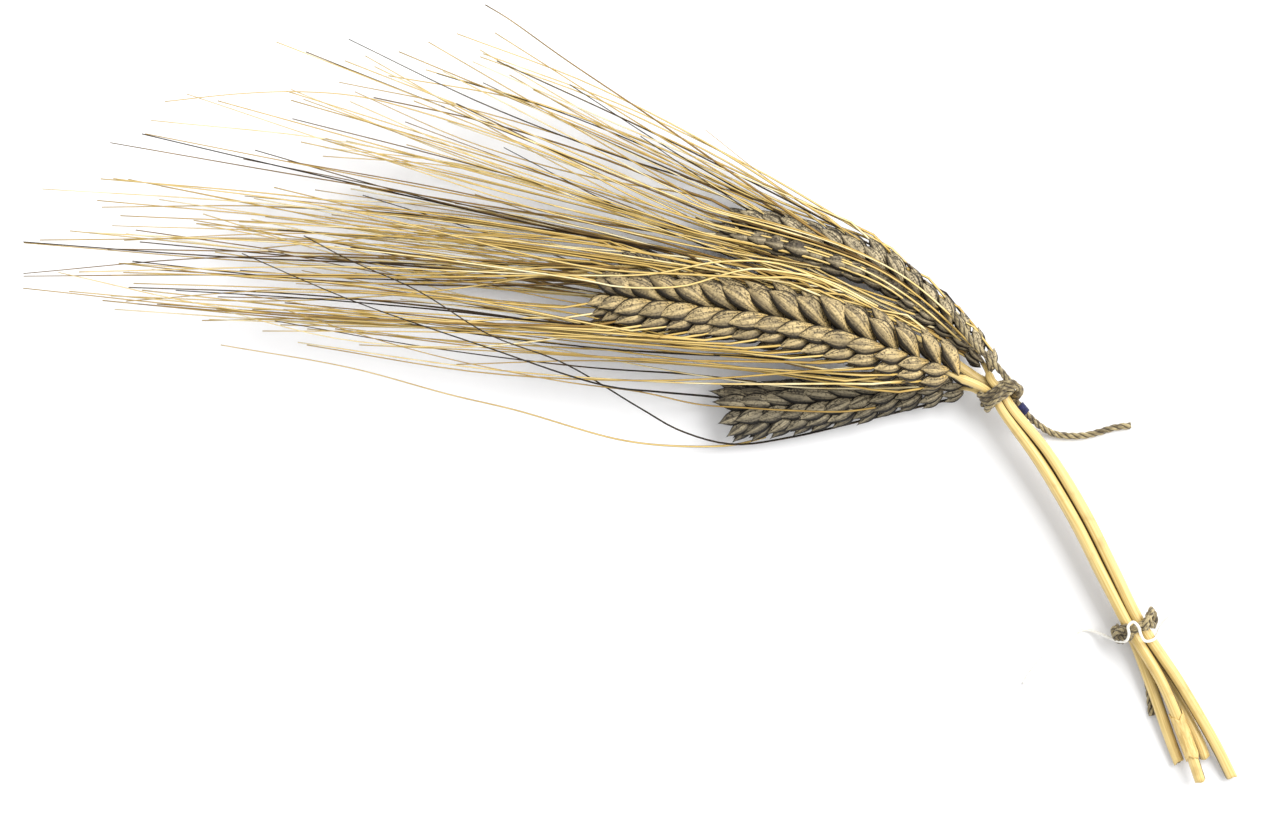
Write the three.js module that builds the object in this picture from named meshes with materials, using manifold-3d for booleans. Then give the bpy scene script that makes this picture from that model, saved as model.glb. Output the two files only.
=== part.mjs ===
// A small bunch of bearded wheat: four ears on cut straws, held by two twine ties.
// It lies on a flat surface. Millimetres, +X towards the cut straw ends, +Z up.
// The origin is on the surface, under the middle of the whole bunch.
import * as THREE from "three";
import { mergeVertices } from "three/addons/utils/BufferGeometryUtils.js";
import Module from "manifold-3d";

const wasm = await Module();
wasm.setup();

// ---- Driving dimensions -------------------------------------------------------

const STRAW_RADIUS = 1.15; // from the cut end to the lower tie
const TIED_RADIUS = 0.9; // in the upper tie
const NECK_RADIUS = 0.7; // where a straw meets its ear
const RACHIS_RADIUS = 0.5; // the ear's own axis, at its first spikelet
const RACHIS_TIP_RADIUS = 0.3;
const NECK_STEP = 0.01; // share of the straw in which the neck thins to the ear's axis
const STRAW_SIDES = 8;
const STRAW_STEPS = 34;
const AXIS_SAMPLES = 14; // points that an ear's axis takes over from its straw
const ROUNDING = 1e-9;
const WELD = 1e-4; // vertices closer than this are one

const GAP = 0.3; // clear space between pieces that lie against each other
const SPIKELET_STAND_OFF = RACHIS_RADIUS + 0.45; // axis to a spikelet's foot

const AWN_ROOT_RADIUS = 0.28;
const AWN_TIP_RADIUS = 0.16;
const AWN_SIDES = 3; // an awn is three-cornered
const AWN_STEPS = 6;
const AWN_ROOT_INSET = 1.6; // how far the awn starts inside its spikelet
const AWN_CLEARANCE = 0.9; // between an awn and the tips of the spikelets beyond it
const AWN_PITCH = 0.72; // between neighbouring awns beside the ear
const AWN_SHOULDER_RUN = 3.5; // the length in which an awn steps out to its place
const AWN_LEAD = 0.4; // straight on past the spikelet's tip, before the awn steps out
const AWN_STATIONS = [0.04, 0.1, 0.25, 0.5, 0.75, 1]; // shares of the awn's length

const LAST_SPIKELET_AT = 0.88; // share of the ear's axis
const GROWTH_FROM_FOOT = 0.9; // how fast spikelets grow from the ear's foot upwards
const TIP_GROWTH = 0.72; // size of the last spikelets
const TIP_TAPER = 1.6;
const TIP_LEAN = 0.6; // the last spikelets lean out this much of the full angle
const LANE_LIFT = 0.9; // how far an awn's lane shows in the height of its end

// Ears whose rows are one piece each: their spikelets stand a little further out, are
// thicker near the foot so that neighbours touch, and their awns lie closer together.
const JOINED_STAND_OFF = 0.2;
const JOINED_FOOT_SWELL = 1.3;
const JOINED_PITCH = 0.35;

const TWINE_RADIUS = 0.65;
const THREAD_RADIUS = 0.3;

// The bundle of straws from the upper tie to the lower tie, along its middle.
const BUNDLE = [
  [74, 1.3, 7], [75.3, 0.3, 7], [77.5, -3, 7], [84.1, -12.7, 6.7],
  [91.8, -24.5, 6.2], [97.6, -35.9, 5.6], [103.3, -47.1, 4.8],
];
const BUNDLE_SPREAD = [0.82, 0.81, 0.85, 1.05, 1.12, 1.08, 1]; // tight at ties, slack between

// Each straw's place in the bundle (across, up) and its ends.
// "ear" is the route of the ear's axis from its foot to its tip.
const EARS = {
  front: {
    colour: 0xb59a63,
    inBundle: [-1.32, 1.32],
    cutEnd: [[109.7, -58.9, 5.6], [114.6, -71.5, 3.9], [116.9, -79, 3.6]],
    neck: [[71.4, 1.9, 9.3]],
    ear: [
      [66.9, 3.7, 10.4], [61, 6, 12.4], [55.3, 7.8, 14], [45.1, 11.2, 15.2],
      [29.8, 14.9, 15.2], [14.5, 17.3, 14.9], [2.2, 18.8, 14.5], [-5.9, 19.4, 14.2],
    ],
    roll: 20,
    firstSize: 0.62,
    firstAt: 0.02,
    spikelets: 15,
    length: 10.6, breadth: 8, thickness: 2.5, angle: 38,
    lanes: [-1, 1],
    laneOffset: 1.8,
    awns: {
      upper: { length: 112, nearest: 0.4, widest: 6, from: 0, endHeight: 12 },
      lower: { length: 121.4, nearest: 0.4, widest: 6, from: 0, endHeight: 13 },
    },
  },
  dark: {
    joined: true,
    colour: 0x5d5346,
    inBundle: [-1.32, -1.32],
    cutEnd: [[107.3, -58.9, 3], [111.4, -71.5, 1.6], [112.7, -75.3, 1.3]],
    neck: [[72, 0.9, 5.5]],
    ear: [
      [68.6, 1.4, 5], [60, 0.8, 4.8], [47.1, -0.8, 4.6], [35, -2.2, 4.5], [24, -3.4, 4.4],
    ],
    roll: 12,
    firstAt: 0.02,
    firstSize: 0.66,
    spikelets: 10,
    length: 9.6, breadth: 7.4, thickness: 3.5, angle: 36,
    lanes: [0],
    laneOffset: 0,
    awns: {
      lower: { length: 92, nearest: -6, widest: -4, from: 8, endHeight: 5 },
    },
  },
  right: {
    joined: true,
    colour: 0xa68d5e,
    inBundle: [1.32, 1.32],
    cutEnd: [[112.5, -58.9, 4.9], [120, -71.5, 2.6], [123.5, -78.4, 1.3]],
    neck: [[74.3, 4, 7.7]],
    ear: [
      [72.2, 6.6, 6.2], [66.9, 12.6, 4.8], [60.4, 18.2, 4.7], [53.3, 23.5, 4.6],
      [45.1, 27.3, 4.6], [34.9, 30.8, 4.6], [22.7, 33.9, 4.5], [13.5, 36.1, 4.4],
    ],
    roll: 10,
    firstSize: 0.8,
    firstAt: 0.02,
    spikelets: 14,
    length: 8.4, breadth: 7, thickness: 3.1, angle: 25,
    lanes: [1],
    laneOffset: 1.6,
    awns: {
      upper: { length: 96, nearest: 4, widest: 17.2, from: 2, endHeight: 7.4 },
      lower: { length: 112, nearest: 0.5, widest: 2, from: 10, endHeight: 7.4 },
    },
  },
  back: {
    joined: true,
    colour: 0x6f6250,
    inBundle: [1.32, -1.32],
    cutEnd: [[110.6, -58.9, 2.3], [117, -71.5, 1.4], [118, -74.3, 1.25]],
    neck: [[71.6, 3.1, 5.8], [68.6, 5.1, 6.2], [61.6, 9.9, 6.4]],
    ear: [
      [55.4, 12.6, 6], [45.1, 15.8, 5.2], [32.9, 18.4, 4.8], [18.6, 21, 4.6],
      [4.3, 24.1, 4.4], [-8, 27.6, 4.2],
    ],
    roll: -8,
    firstAt: 0.08,
    firstSize: 0.66,
    spikelets: 13,
    length: 8.6, breadth: 7.4, thickness: 4.1, angle: 36,
    lanes: [-1],
    laneOffset: 1.4,
    awns: {
      upper: { length: 112, nearest: 0.5, widest: 6, from: 9, endHeight: 1.6 },
      lower: { length: 112, nearest: 0.5, widest: 2.5, from: 6, endHeight: 1.6 },
    },
  },
};

// Free ends of twine and thread, each as the points that it runs through.
const TWINE_TAIL = [
  [78.2, -0.6, 4], [80.4, -3.4, 3.3], [81.9, -5, 2.8], [84.1, -6.5, 2], [86.9, -7.9, 1.2],
  [90.2, -8.4, 0.8], [93.5, -8.3, 0.75], [96.5, -7.6, 0.75], [99.6, -6.7, 0.75],
  [102.9, -6.3, 0.75],
];
const TWINE_STUB = [
  [77.6, 2.6, 9.3], [75.4, 5.2, 10.2], [73.1, 7.6, 10.6], [70, 10.6, 10.6],
  [67.6, 14.1, 10.4], [65.9, 16.7, 10],
];
const LOWER_STUB = [
  [103.2, -46.9, 0.8], [104, -52, 0.8], [105.6, -58.5, 0.75], [106.7, -65.5, 0.75],
];
const LABEL_THREAD = [
  [111.2, -45.3, 0.4], [109.9, -46.5, 2], [108.5, -48, 4.6], [107.1, -49.9, 7.8],
  [104.6, -51.1, 8.1], [102.2, -51, 7.9], [99.9, -50.3, 6.2], [98, -49.6, 3.6],
  [95.8, -48.7, 1.4], [93.4, -48.2, 0.45], [91, -49.2, 0.4], [88.9, -50.5, 0.4],
  [86.9, -52, 0.4], [84.8, -54, 0.4], [82.9, -56.1, 0.4], [80.8, -59.2, 0.4],
];

// Each tie: its point of the bundle, its rings, and the lumps of its knot, which are
// given as along, across and up from the tie's middle, with a radius.
const UPPER_TIE = {
  at: 1,
  ring: 3.5,
  wraps: [-0.6, 0.55],
  lumps: [[1.6, 3.6, 1.1, 1.35], [0.9, 3.5, 2.5, 1.15]],
};
const LOWER_TIE = {
  at: BUNDLE.length - 1,
  ring: 3.98,
  wraps: [-0.6],
  lumps: [[-0.9, 4.2, 1.4, 1.5], [-0.7, -4.1, 0.4, 1.25]],
};
const WHIPPING = { at: 0.115, length: 1.8, wall: 0.25 }; // share of the tail's length
const SHEATH = { from: 4.6, to: 15.5, wall: 0.25 }; // distances from the cut end
const BORE_OVERRUN = 0.5; // how far a sleeve's bore runs past its ends, to open them

// ---- Solids -------------------------------------------------------------------

const UP = new THREE.Vector3(0, 0, 1);
const vector = (point) => new THREE.Vector3(...point);
const along = (point, direction, distance) => point.clone().addScaledVector(direction, distance);
const mix = THREE.MathUtils.lerp;
const radians = THREE.MathUtils.degToRad;

function curveThrough(points) {
  return new THREE.CatmullRomCurve3(points.map(vector), false, "centripetal");
}

// A closed skin over rings of points, drawn together to one point at each end.
function skin(rings, first, last) {
  const sides = rings[0].length;
  const points = [first, ...rings.flat(), last];
  const at = (ring, side) => 1 + ring * sides + (side % sides);
  const triangles = [];
  for (let side = 0; side < sides; side += 1) {
    triangles.push(0, at(0, side + 1), at(0, side));
    for (let ring = 0; ring + 1 < rings.length; ring += 1) {
      const [a, b] = [at(ring, side), at(ring, side + 1)];
      const [c, d] = [at(ring + 1, side), at(ring + 1, side + 1)];
      triangles.push(a, b, d, a, d, c);
    }
    triangles.push(points.length - 1, at(rings.length - 1, side), at(rings.length - 1, side + 1));
  }
  const geometry = new THREE.BufferGeometry();
  const numbers = points.flatMap((point) => point.toArray());
  geometry.setAttribute("position", new THREE.Float32BufferAttribute(numbers, 3));
  geometry.setIndex(triangles);
  return geometry;
}

// A round rod along a curve, with flat ends; radiusAt takes 0 at the start and 1 at the end.
function rod(curve, radiusAt, sides, steps) {
  const { normals, binormals } = curve.computeFrenetFrames(steps, false);
  const rings = [];
  for (let step = 0; step <= steps; step += 1) {
    const middle = curve.getPointAt(step / steps);
    const radius = radiusAt(step / steps);
    rings.push(Array.from({ length: sides }, (_, side) => {
      const turn = (side / sides) * 2 * Math.PI;
      const edge = along(middle, normals[step], radius * Math.cos(turn));
      return edge.addScaledVector(binormals[step], radius * Math.sin(turn));
    }));
  }
  return skin(rings, curve.getPointAt(0), curve.getPointAt(1));
}

function solid(geometry) {
  const plain = geometry.clone();
  plain.deleteAttribute("normal");
  plain.deleteAttribute("uv");
  const merged = mergeVertices(plain, WELD);
  return new wasm.Manifold(new wasm.Mesh({
    numProp: 3,
    vertProperties: new Float32Array(merged.attributes.position.array),
    triVerts: new Uint32Array(merged.index.array),
  }));
}

function fromSolid(body) {
  const mesh = body.getMesh();
  const geometry = new THREE.BufferGeometry();
  geometry.setAttribute("position", new THREE.Float32BufferAttribute(mesh.vertProperties, 3));
  geometry.setIndex(new THREE.Uint32BufferAttribute(mesh.triVerts, 1));
  return geometry;
}

function joined(geometries) {
  return fromSolid(geometries.map(solid).reduce((whole, piece) => whole.add(piece)));
}

const bunch = new THREE.Group();

function addPiece(name, geometry, colour, roughness = 0.75) {
  geometry.computeVertexNormals();
  const material = new THREE.MeshStandardMaterial({ color: colour, roughness, metalness: 0 });
  const mesh = new THREE.Mesh(geometry, material);
  mesh.name = name;
  bunch.add(mesh);
}

// ---- Straws -------------------------------------------------------------------

// Where a straw runs between the two ties, at its place in the bundle.
function bundleRoute([across, up]) {
  const middle = curveThrough(BUNDLE);
  return BUNDLE.map((point, i) => {
    const ahead = middle.getTangent(i / (BUNDLE.length - 1));
    const sideways = new THREE.Vector3().crossVectors(UP, ahead).normalize();
    const place = along(vector(point), sideways, across * BUNDLE_SPREAD[i]);
    return along(place, UP, up * BUNDLE_SPREAD[i]).toArray();
  });
}

// One straw is a single growth: the stalk, and the ear's own axis as its last stretch.
function addStraw(name, plan) {
  const stalk = [...plan.cutEnd].reverse();
  const bound = bundleRoute(plan.inBundle).reverse();
  const curve = curveThrough([...stalk, ...bound, ...plan.neck, ...plan.ear]);
  const whole = curve.getLength();
  const ear = curveThrough(plan.ear).getLength() / whole;
  const tied = curveThrough([...bound.slice(-1), ...plan.neck, ...plan.ear]).getLength() / whole;
  const firm = 1 - curveThrough([...stalk, bound[0]]).getLength() / whole;
  const stretches = [
    [0, RACHIS_TIP_RADIUS], [ear, RACHIS_RADIUS], [ear + NECK_STEP, NECK_RADIUS],
    [tied, TIED_RADIUS], [firm, STRAW_RADIUS], [1, STRAW_RADIUS],
  ];
  const radiusAt = (share) => {
    const left = 1 - share;
    const i = Math.max(1, stretches.findIndex(([reach]) => reach >= left - ROUNDING));
    const [[a, thin], [b, thick]] = [stretches[i - 1], stretches[i]];
    return mix(thin, thick, (left - a) / (b - a));
  };
  addPiece(`${name}_straw`, rod(curve, radiusAt, STRAW_SIDES, STRAW_STEPS), 0xe3c878, 0.5);
  const points = curve.points.length;
  const foot = (points - plan.ear.length) / (points - 1);
  const samples = Array.from({ length: AXIS_SAMPLES + 1 }, (_, i) => (
    curve.getPoint(mix(foot, 1, i / AXIS_SAMPLES)).toArray()
  ));
  return { curve, axis: curveThrough(samples) };
}

// ---- Ears ---------------------------------------------------------------------

// The ear's directions at a share of its length: ahead to the tip, out to the lower row,
// and face, out of the flat side that looks up.
function earFrame(axis, share, roll) {
  const ahead = axis.getTangentAt(share);
  const level = new THREE.Vector3().crossVectors(UP, ahead).normalize();
  const lifted = new THREE.Vector3().crossVectors(ahead, level);
  const turn = radians(roll);
  const out = level.clone().multiplyScalar(Math.cos(turn)).addScaledVector(lifted, Math.sin(turn));
  const face = new THREE.Vector3().crossVectors(ahead, out);
  return { ahead, level, out, face };
}

// A spikelet is a flat pointed lens: broad along the face, thin across the row.
const LENS = [[0.14, 0.55], [0.38, 1], [0.68, 0.86], [0.89, 0.42]]; // share of length, width
const LENS_SIDES = 6;

function lens(foot, pointing, broadways, size) {
  const thinways = new THREE.Vector3().crossVectors(pointing, broadways).normalize();
  const rings = LENS.map(([share, width]) => {
    const middle = along(foot, pointing, size.length * share);
    return Array.from({ length: LENS_SIDES }, (_, side) => {
      const turn = (side / LENS_SIDES) * 2 * Math.PI;
      const edge = along(middle, broadways, (size.breadth / 2) * width * Math.cos(turn));
      return edge.addScaledVector(thinways, (size.thickness / 2) * width * Math.sin(turn));
    });
  });
  return skin(rings, foot, along(foot, pointing, size.length));
}

// An awn steps out clear of the spikelets beyond it, to its own place beside the ear, and
// runs on past the ear's tip. Awns from further down the ear take places further out.
function awn(axis, share, tip, pointing, side, row) {
  const earLength = axis.getLength();
  const from = earFrame(axis, share, 0);
  const offset = tip.clone().sub(axis.getPointAt(share));
  const ahead = offset.dot(from.ahead);
  const sideways = Math.abs(offset.dot(from.level));
  const points = [along(tip, pointing, -AWN_ROOT_INSET), along(tip, pointing, AWN_LEAD)];
  for (const part of AWN_STATIONS) {
    const run = part * row.length;
    const place = share + (ahead + run) / earLength;
    const here = earFrame(axis, Math.min(place, 1), 0);
    const reached = axis.getPointAt(Math.min(place, 1));
    const point = along(reached, here.ahead, Math.max(0, place - 1) * earLength);
    const stepped = 1 - Math.exp(-run / AWN_SHOULDER_RUN);
    const out = mix(sideways, row.clear + row.place * AWN_PITCH, stepped);
    point.addScaledVector(here.level, side * (out + run * Math.tan(radians(row.lean))));
    point.z = mix(tip.z, row.endHeight, Math.sin((part * Math.PI) / 2));
    points.push(point);
  }
  const curve = curveThrough(points.map((point) => point.toArray()));
  return rod(curve, (t) => mix(AWN_ROOT_RADIUS, AWN_TIP_RADIUS, t), AWN_SIDES, AWN_STEPS);
}

// One spikelet with its awns, at its number up the ear; side is -1 above, +1 below.
function spikelet(axis, plan, number, side) {
  const up = (number + (side > 0 ? 0.5 : 0)) / plan.spikelets;
  const share = mix(plan.firstAt, LAST_SPIKELET_AT, up);
  const { ahead, out, face } = earFrame(axis, share, plan.roll);
  const fromFoot = Math.min(1, plan.firstSize + GROWTH_FROM_FOOT * up);
  const growth = fromFoot * Math.min(1, TIP_GROWTH + TIP_TAPER * (1 - up));
  const lean = radians(plan.angle * mix(1, TIP_LEAN, up ** 3));
  const footSwell = plan.joined ? mix(JOINED_FOOT_SWELL, 1, Math.min(1, 2 * up)) : 1;
  const size = {
    length: plan.length * growth,
    breadth: plan.breadth * growth,
    thickness: plan.thickness * footSwell,
  };
  const pointing = ahead.clone().multiplyScalar(Math.cos(lean));
  pointing.addScaledVector(out, side * Math.sin(lean));
  const standOff = SPIKELET_STAND_OFF + (plan.joined ? JOINED_STAND_OFF : 0);
  const foot = along(axis.getPointAt(share), out, side * standOff);
  const pieces = [lens(foot, pointing, face, size)];
  const row = side > 0 ? plan.awns.lower : plan.awns.upper;
  if (row && number >= row.from) {
    const lane = plan.lanes[number % plan.lanes.length];
    const tip = along(foot, pointing, size.length);
    tip.addScaledVector(face, lane * (plan.laneOffset / 2) * growth);
    const later = Math.floor((plan.spikelets - 1 - number) / plan.lanes.length);
    pieces.push(awn(axis, share, tip, pointing, side, {
      length: row.length,
      clear: SPIKELET_STAND_OFF + plan.length * Math.sin(radians(plan.angle)) + AWN_CLEARANCE,
      place: later * (plan.joined ? JOINED_PITCH : 1),
      lean: mix(row.widest, row.nearest, up),
      endHeight: row.endHeight + lane * plan.laneOffset * LANE_LIFT,
    }));
  }
  return pieces;
}

const straws = {};
for (const [name, plan] of Object.entries(EARS)) {
  const { curve, axis } = addStraw(name, plan);
  straws[name] = curve;
  for (const side of [-1, 1]) {
    const row = [];
    for (let number = 0; number < plan.spikelets; number += 1) {
      const pieces = spikelet(axis, plan, number, side);
      if (plan.joined) {
        row.push(...pieces);
      } else {
        const label = String(2 * number + (side > 0 ? 2 : 1)).padStart(2, "0");
        addPiece(`${name}_spikelet_${label}`, joined(pieces), plan.colour);
      }
    }
    if (plan.joined) {
      addPiece(`${name}_ear_${side > 0 ? "lower" : "upper"}_row`, joined(row), plan.colour);
    }
  }
}

// ---- Leaf sheath --------------------------------------------------------------

// An open sleeve round a curve, from one distance along it to another.
function sleeve(curve, from, to, inner, wall, sides, steps) {
  const whole = curve.getLength();
  const middles = [];
  for (let step = 0; step <= steps; step += 1) {
    middles.push(curve.getPointAt(mix(from, to, step / steps) / whole).toArray());
  }
  const outside = rod(curveThrough(middles), () => inner + wall, sides, steps);
  const first = curve.getPointAt(Math.max(0, from - BORE_OVERRUN) / whole);
  const last = curve.getPointAt((to + BORE_OVERRUN) / whole);
  const bore = curveThrough([first.toArray(), ...middles, last.toArray()]);
  const inside = rod(bore, () => inner, sides, steps + 2);
  return solid(outside).subtract(solid(inside));
}

const sheathBore = STRAW_RADIUS + GAP;
const sheath = sleeve(straws.front, SHEATH.from, SHEATH.to, sheathBore, SHEATH.wall, 10, 4);
addPiece("leaf_sheath", fromSolid(sheath), 0xd9b969, 0.6);

// ---- Ties ---------------------------------------------------------------------

// A tie's rings lie square to the bundle; the knot's lumps sit against them.
function tie(plan, ends) {
  const middle = curveThrough(BUNDLE);
  const ahead = middle.getTangent(plan.at / (BUNDLE.length - 1)).setZ(0).normalize();
  const sideways = new THREE.Vector3().crossVectors(UP, ahead);
  const centre = vector(BUNDLE[plan.at]);
  const facing = new THREE.Quaternion().setFromUnitVectors(UP, ahead);
  const pieces = plan.wraps.map((shift) => {
    const ring = new THREE.TorusGeometry(plan.ring, TWINE_RADIUS, 7, 18);
    const place = along(centre, ahead, shift);
    return ring.applyQuaternion(facing).translate(place.x, place.y, place.z);
  });
  for (const [forward, across, up, radius] of plan.lumps) {
    const lump = new THREE.IcosahedronGeometry(radius, 1);
    const place = along(along(along(centre, ahead, forward), sideways, across), UP, up);
    pieces.push(lump.translate(place.x, place.y, place.z));
  }
  for (const [route, steps] of ends) {
    pieces.push(rod(curveThrough(route), () => TWINE_RADIUS, 7, steps));
  }
  return joined(pieces);
}

addPiece("upper_tie", tie(UPPER_TIE, [[TWINE_STUB, 8]]), 0x8d7a58, 0.9);
addPiece("lower_tie", tie(LOWER_TIE, [[LOWER_STUB, 6]]), 0x8d7a58, 0.9);

const tail = curveThrough(TWINE_TAIL);
addPiece("twine_tail", rod(tail, () => TWINE_RADIUS, 8, 14), 0x8d7a58, 0.9);

const whippingStart = WHIPPING.at * tail.getLength();
const whipping = sleeve(
  tail, whippingStart, whippingStart + WHIPPING.length, TWINE_RADIUS + GAP, WHIPPING.wall, 8, 2,
);
addPiece("blue_whipping", fromSolid(whipping), 0x1f2b5c, 0.8);

const thread = curveThrough(LABEL_THREAD);
addPiece("label_thread", rod(thread, () => THREAD_RADIUS, 8, 28), 0xf2f0e8, 0.9);

export default bunch;
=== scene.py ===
# %% [markdown]
# # A small bunch of bearded wheat
# Four dried ears of bearded wheat lie on a white table. Their straws are cut to one length
# and tied twice with jute twine. The long stiff bristles on the husks are called awns.
# The solids of the design are already there: this lesson gives each one its real surface.
# Everything is in metres, and it stays where the design has it.

import bpy
import numpy as np
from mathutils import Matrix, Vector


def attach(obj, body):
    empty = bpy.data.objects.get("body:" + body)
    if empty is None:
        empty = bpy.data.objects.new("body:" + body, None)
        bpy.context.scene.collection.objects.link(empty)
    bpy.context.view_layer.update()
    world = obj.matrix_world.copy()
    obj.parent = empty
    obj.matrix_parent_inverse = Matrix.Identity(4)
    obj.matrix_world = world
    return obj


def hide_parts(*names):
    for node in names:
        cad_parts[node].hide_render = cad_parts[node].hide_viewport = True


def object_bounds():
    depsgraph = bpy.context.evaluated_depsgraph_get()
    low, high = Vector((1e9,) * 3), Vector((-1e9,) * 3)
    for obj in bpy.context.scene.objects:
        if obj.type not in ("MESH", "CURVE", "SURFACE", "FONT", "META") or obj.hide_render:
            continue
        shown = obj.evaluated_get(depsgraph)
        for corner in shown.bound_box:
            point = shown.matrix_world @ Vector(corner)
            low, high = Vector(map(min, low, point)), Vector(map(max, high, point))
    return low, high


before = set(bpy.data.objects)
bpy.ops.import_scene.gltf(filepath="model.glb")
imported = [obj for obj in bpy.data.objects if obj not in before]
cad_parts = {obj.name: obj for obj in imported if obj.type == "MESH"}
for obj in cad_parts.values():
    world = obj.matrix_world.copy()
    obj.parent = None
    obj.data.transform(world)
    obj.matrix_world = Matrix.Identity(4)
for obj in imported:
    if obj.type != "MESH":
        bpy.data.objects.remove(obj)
cad_low, cad_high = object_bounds()
MM = 0.001
UP = np.array([0.0, 0.0, 1.0])
rng = np.random.default_rng(12)
print("CAD nodes:", len(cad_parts), "box in mm:", [round(x / MM, 1) for x in (*cad_low, *cad_high)])

# %% [markdown]
# ## The camera
# A flat arrangement like this one is best seen from straight above. A long lens far away keeps
# the ears that lie higher from looking bigger, so every length can be compared.

# %% Camera, looking straight down
LENS = 200
SENSOR = 36
VIEW_WIDTH = 261.2 * MM
SHARP_HEIGHT = 8 * MM  # the height at which the view is exactly that wide
VIEW_CENTRE = (2.2 * MM, -3.1 * MM)

camera_data = bpy.data.cameras.new("camera")
camera_data.lens = LENS
camera_data.sensor_width = SENSOR
camera_data.clip_end = 10
camera = bpy.data.objects.new("camera", camera_data)
camera.location = (*VIEW_CENTRE, SHARP_HEIGHT + VIEW_WIDTH * LENS / SENSOR)
bpy.context.scene.collection.objects.link(camera)
bpy.context.scene.camera = camera
print("camera height in m:", round(camera.location.z, 3))

# %% [markdown]
# ## Paths and skins
# Straws, awns, twine and husks are all long things, so one pair of tools makes them:
# a smooth path through a few points, and a skin over rings of points along that path.
# Blender's own curves could do it too, but here each ring may have a shape and a painted
# value of its own. The path is the same kind of spline that the design uses, so the two run
# together.


# %% A smooth path through a few points
CURVE_STEPS = 24  # places worked out between two of the points


def unit(vectors):
    """The vectors divided by their lengths."""
    return vectors / np.linalg.norm(vectors, axis=-1, keepdims=True)


def distances(path):
    """How far along a path each of its points lies."""
    return np.concatenate([[0], np.cumsum(np.linalg.norm(np.diff(path, axis=0), axis=1))])


def curve_through(points, count, start=0):
    """count places, evenly spaced, on a smooth curve through the points, from point number start.

    Between two points the curve is a cubic. Its slopes come from the neighbouring points,
    each weighted by the square root of its distance, so it neither loops nor overshoots.
    """
    points = np.asarray(points, float)
    ends = 2 * points[0] - points[1], 2 * points[-1] - points[-2]
    p = np.vstack([ends[0], points, ends[1]])
    gaps = np.sqrt(np.linalg.norm(np.diff(p, axis=0), axis=1))[:, None]
    step = np.diff(p, axis=0)
    chord = (p[2:] - p[:-2]) / (gaps[1:] + gaps[:-1])
    slope = step[:-1] / gaps[:-1] - chord + step[1:] / gaps[1:]
    leave, arrive = slope[:-1] * gaps[1:-1], slope[1:] * gaps[1:-1]
    t = np.linspace(0, 1, CURVE_STEPS + 1)[:-1, None, None]
    a, b = points[:-1], points[1:]
    square = 3 * (b - a) - 2 * leave - arrive
    cube = 2 * (a - b) + leave + arrive
    cubic = a + leave * t + square * t**2 + cube * t**3
    fine = np.vstack([np.swapaxes(cubic, 0, 1).reshape(-1, 3), points[-1:]])[start * CURVE_STEPS:]
    reached = distances(fine)
    even = np.linspace(0, reached[-1], count)
    return np.stack([np.interp(even, reached, fine[:, axis]) for axis in range(3)], axis=1)


def length_of(path):
    """The length of a path of points."""
    return float(np.linalg.norm(np.diff(path, axis=0), axis=1).sum())


def axes_along(path, reference=UP):
    """Ahead, side and up at each point; up is as near the reference as a right angle allows."""
    ahead = unit(np.gradient(path, axis=0))
    side = unit(np.cross(reference, ahead))
    return ahead, side, np.cross(ahead, side)


# %% A skin over rings of points
def skin(rings, first=None, last=None, tone=0.5, finish=0):
    """A closed skin over rings of points (rings x sides x 3), as a patch for build().

    Neighbouring rings are joined by four-sided faces. Each end is drawn together to the point
    first or last; with no such points, the last ring is joined to the first one.
    The map's x runs round a ring and its y along the rings, both from 0 to 1.
    """
    count, sides = rings.shape[:2]
    rows = count - 1 if first is not None else count
    ring, side = np.meshgrid(np.arange(rows), np.arange(sides), indexing="ij")
    corner = [(ring, side), (ring, side + 1), (ring + 1, side + 1), (ring + 1, side)]
    quads = np.stack([(r % count) * sides + s % sides for r, s in corner], axis=-1).reshape(-1, 4)
    quad_map = np.stack([np.stack([s / sides, r / rows], -1) for r, s in corner], axis=-2).reshape(-1, 4, 2)
    points, tris, tri_map = rings.reshape(-1, 3), np.zeros((0, 3), int), np.zeros((0, 3, 2))
    if first is not None:
        s = np.arange(sides)
        total, end = count * sides, (count - 1) * sides
        points = np.vstack([points, first, last])
        tris = np.vstack([
            np.stack([np.full(sides, total), (s + 1) % sides, s], -1),
            np.stack([np.full(sides, total + 1), end + s, end + (s + 1) % sides], -1),
        ])
        place = np.stack([(s + 0.5) / sides, (s + 1) / sides, s / sides], -1)
        tri_map = np.vstack([
            np.stack([place, np.zeros_like(place)], -1),
            np.stack([place[:, [0, 2, 1]], np.ones_like(place)], -1),
        ])
    return {
        "points": points, "quads": quads, "tris": tris, "quad_map": quad_map, "tri_map": tri_map,
        "tone": np.full(len(points), float(tone)), "ridge": np.zeros(len(points)),
        "shade": np.zeros(len(points)), "finish": finish,
    }


def outward(path, sides, reference=UP):
    """Directions square to a path and evenly spaced round it (points x sides x 3), and their angles."""
    _, side, up = axes_along(path, reference)
    turn = np.arange(sides) * 2 * np.pi / sides
    return side[:, None] * np.cos(turn)[:, None] + up[:, None] * np.sin(turn)[:, None], turn


def tube(path, radius, sides, reference=UP, tone=0.5, finish=0):
    """A round skin along a path: each ring is the path's point plus radius times cos and sin."""
    around, _ = outward(path, sides, reference)
    radius = np.broadcast_to(radius, len(path))[:, None, None]
    return skin(path[:, None] + radius * around, path[0], path[-1], tone, finish)


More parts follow.
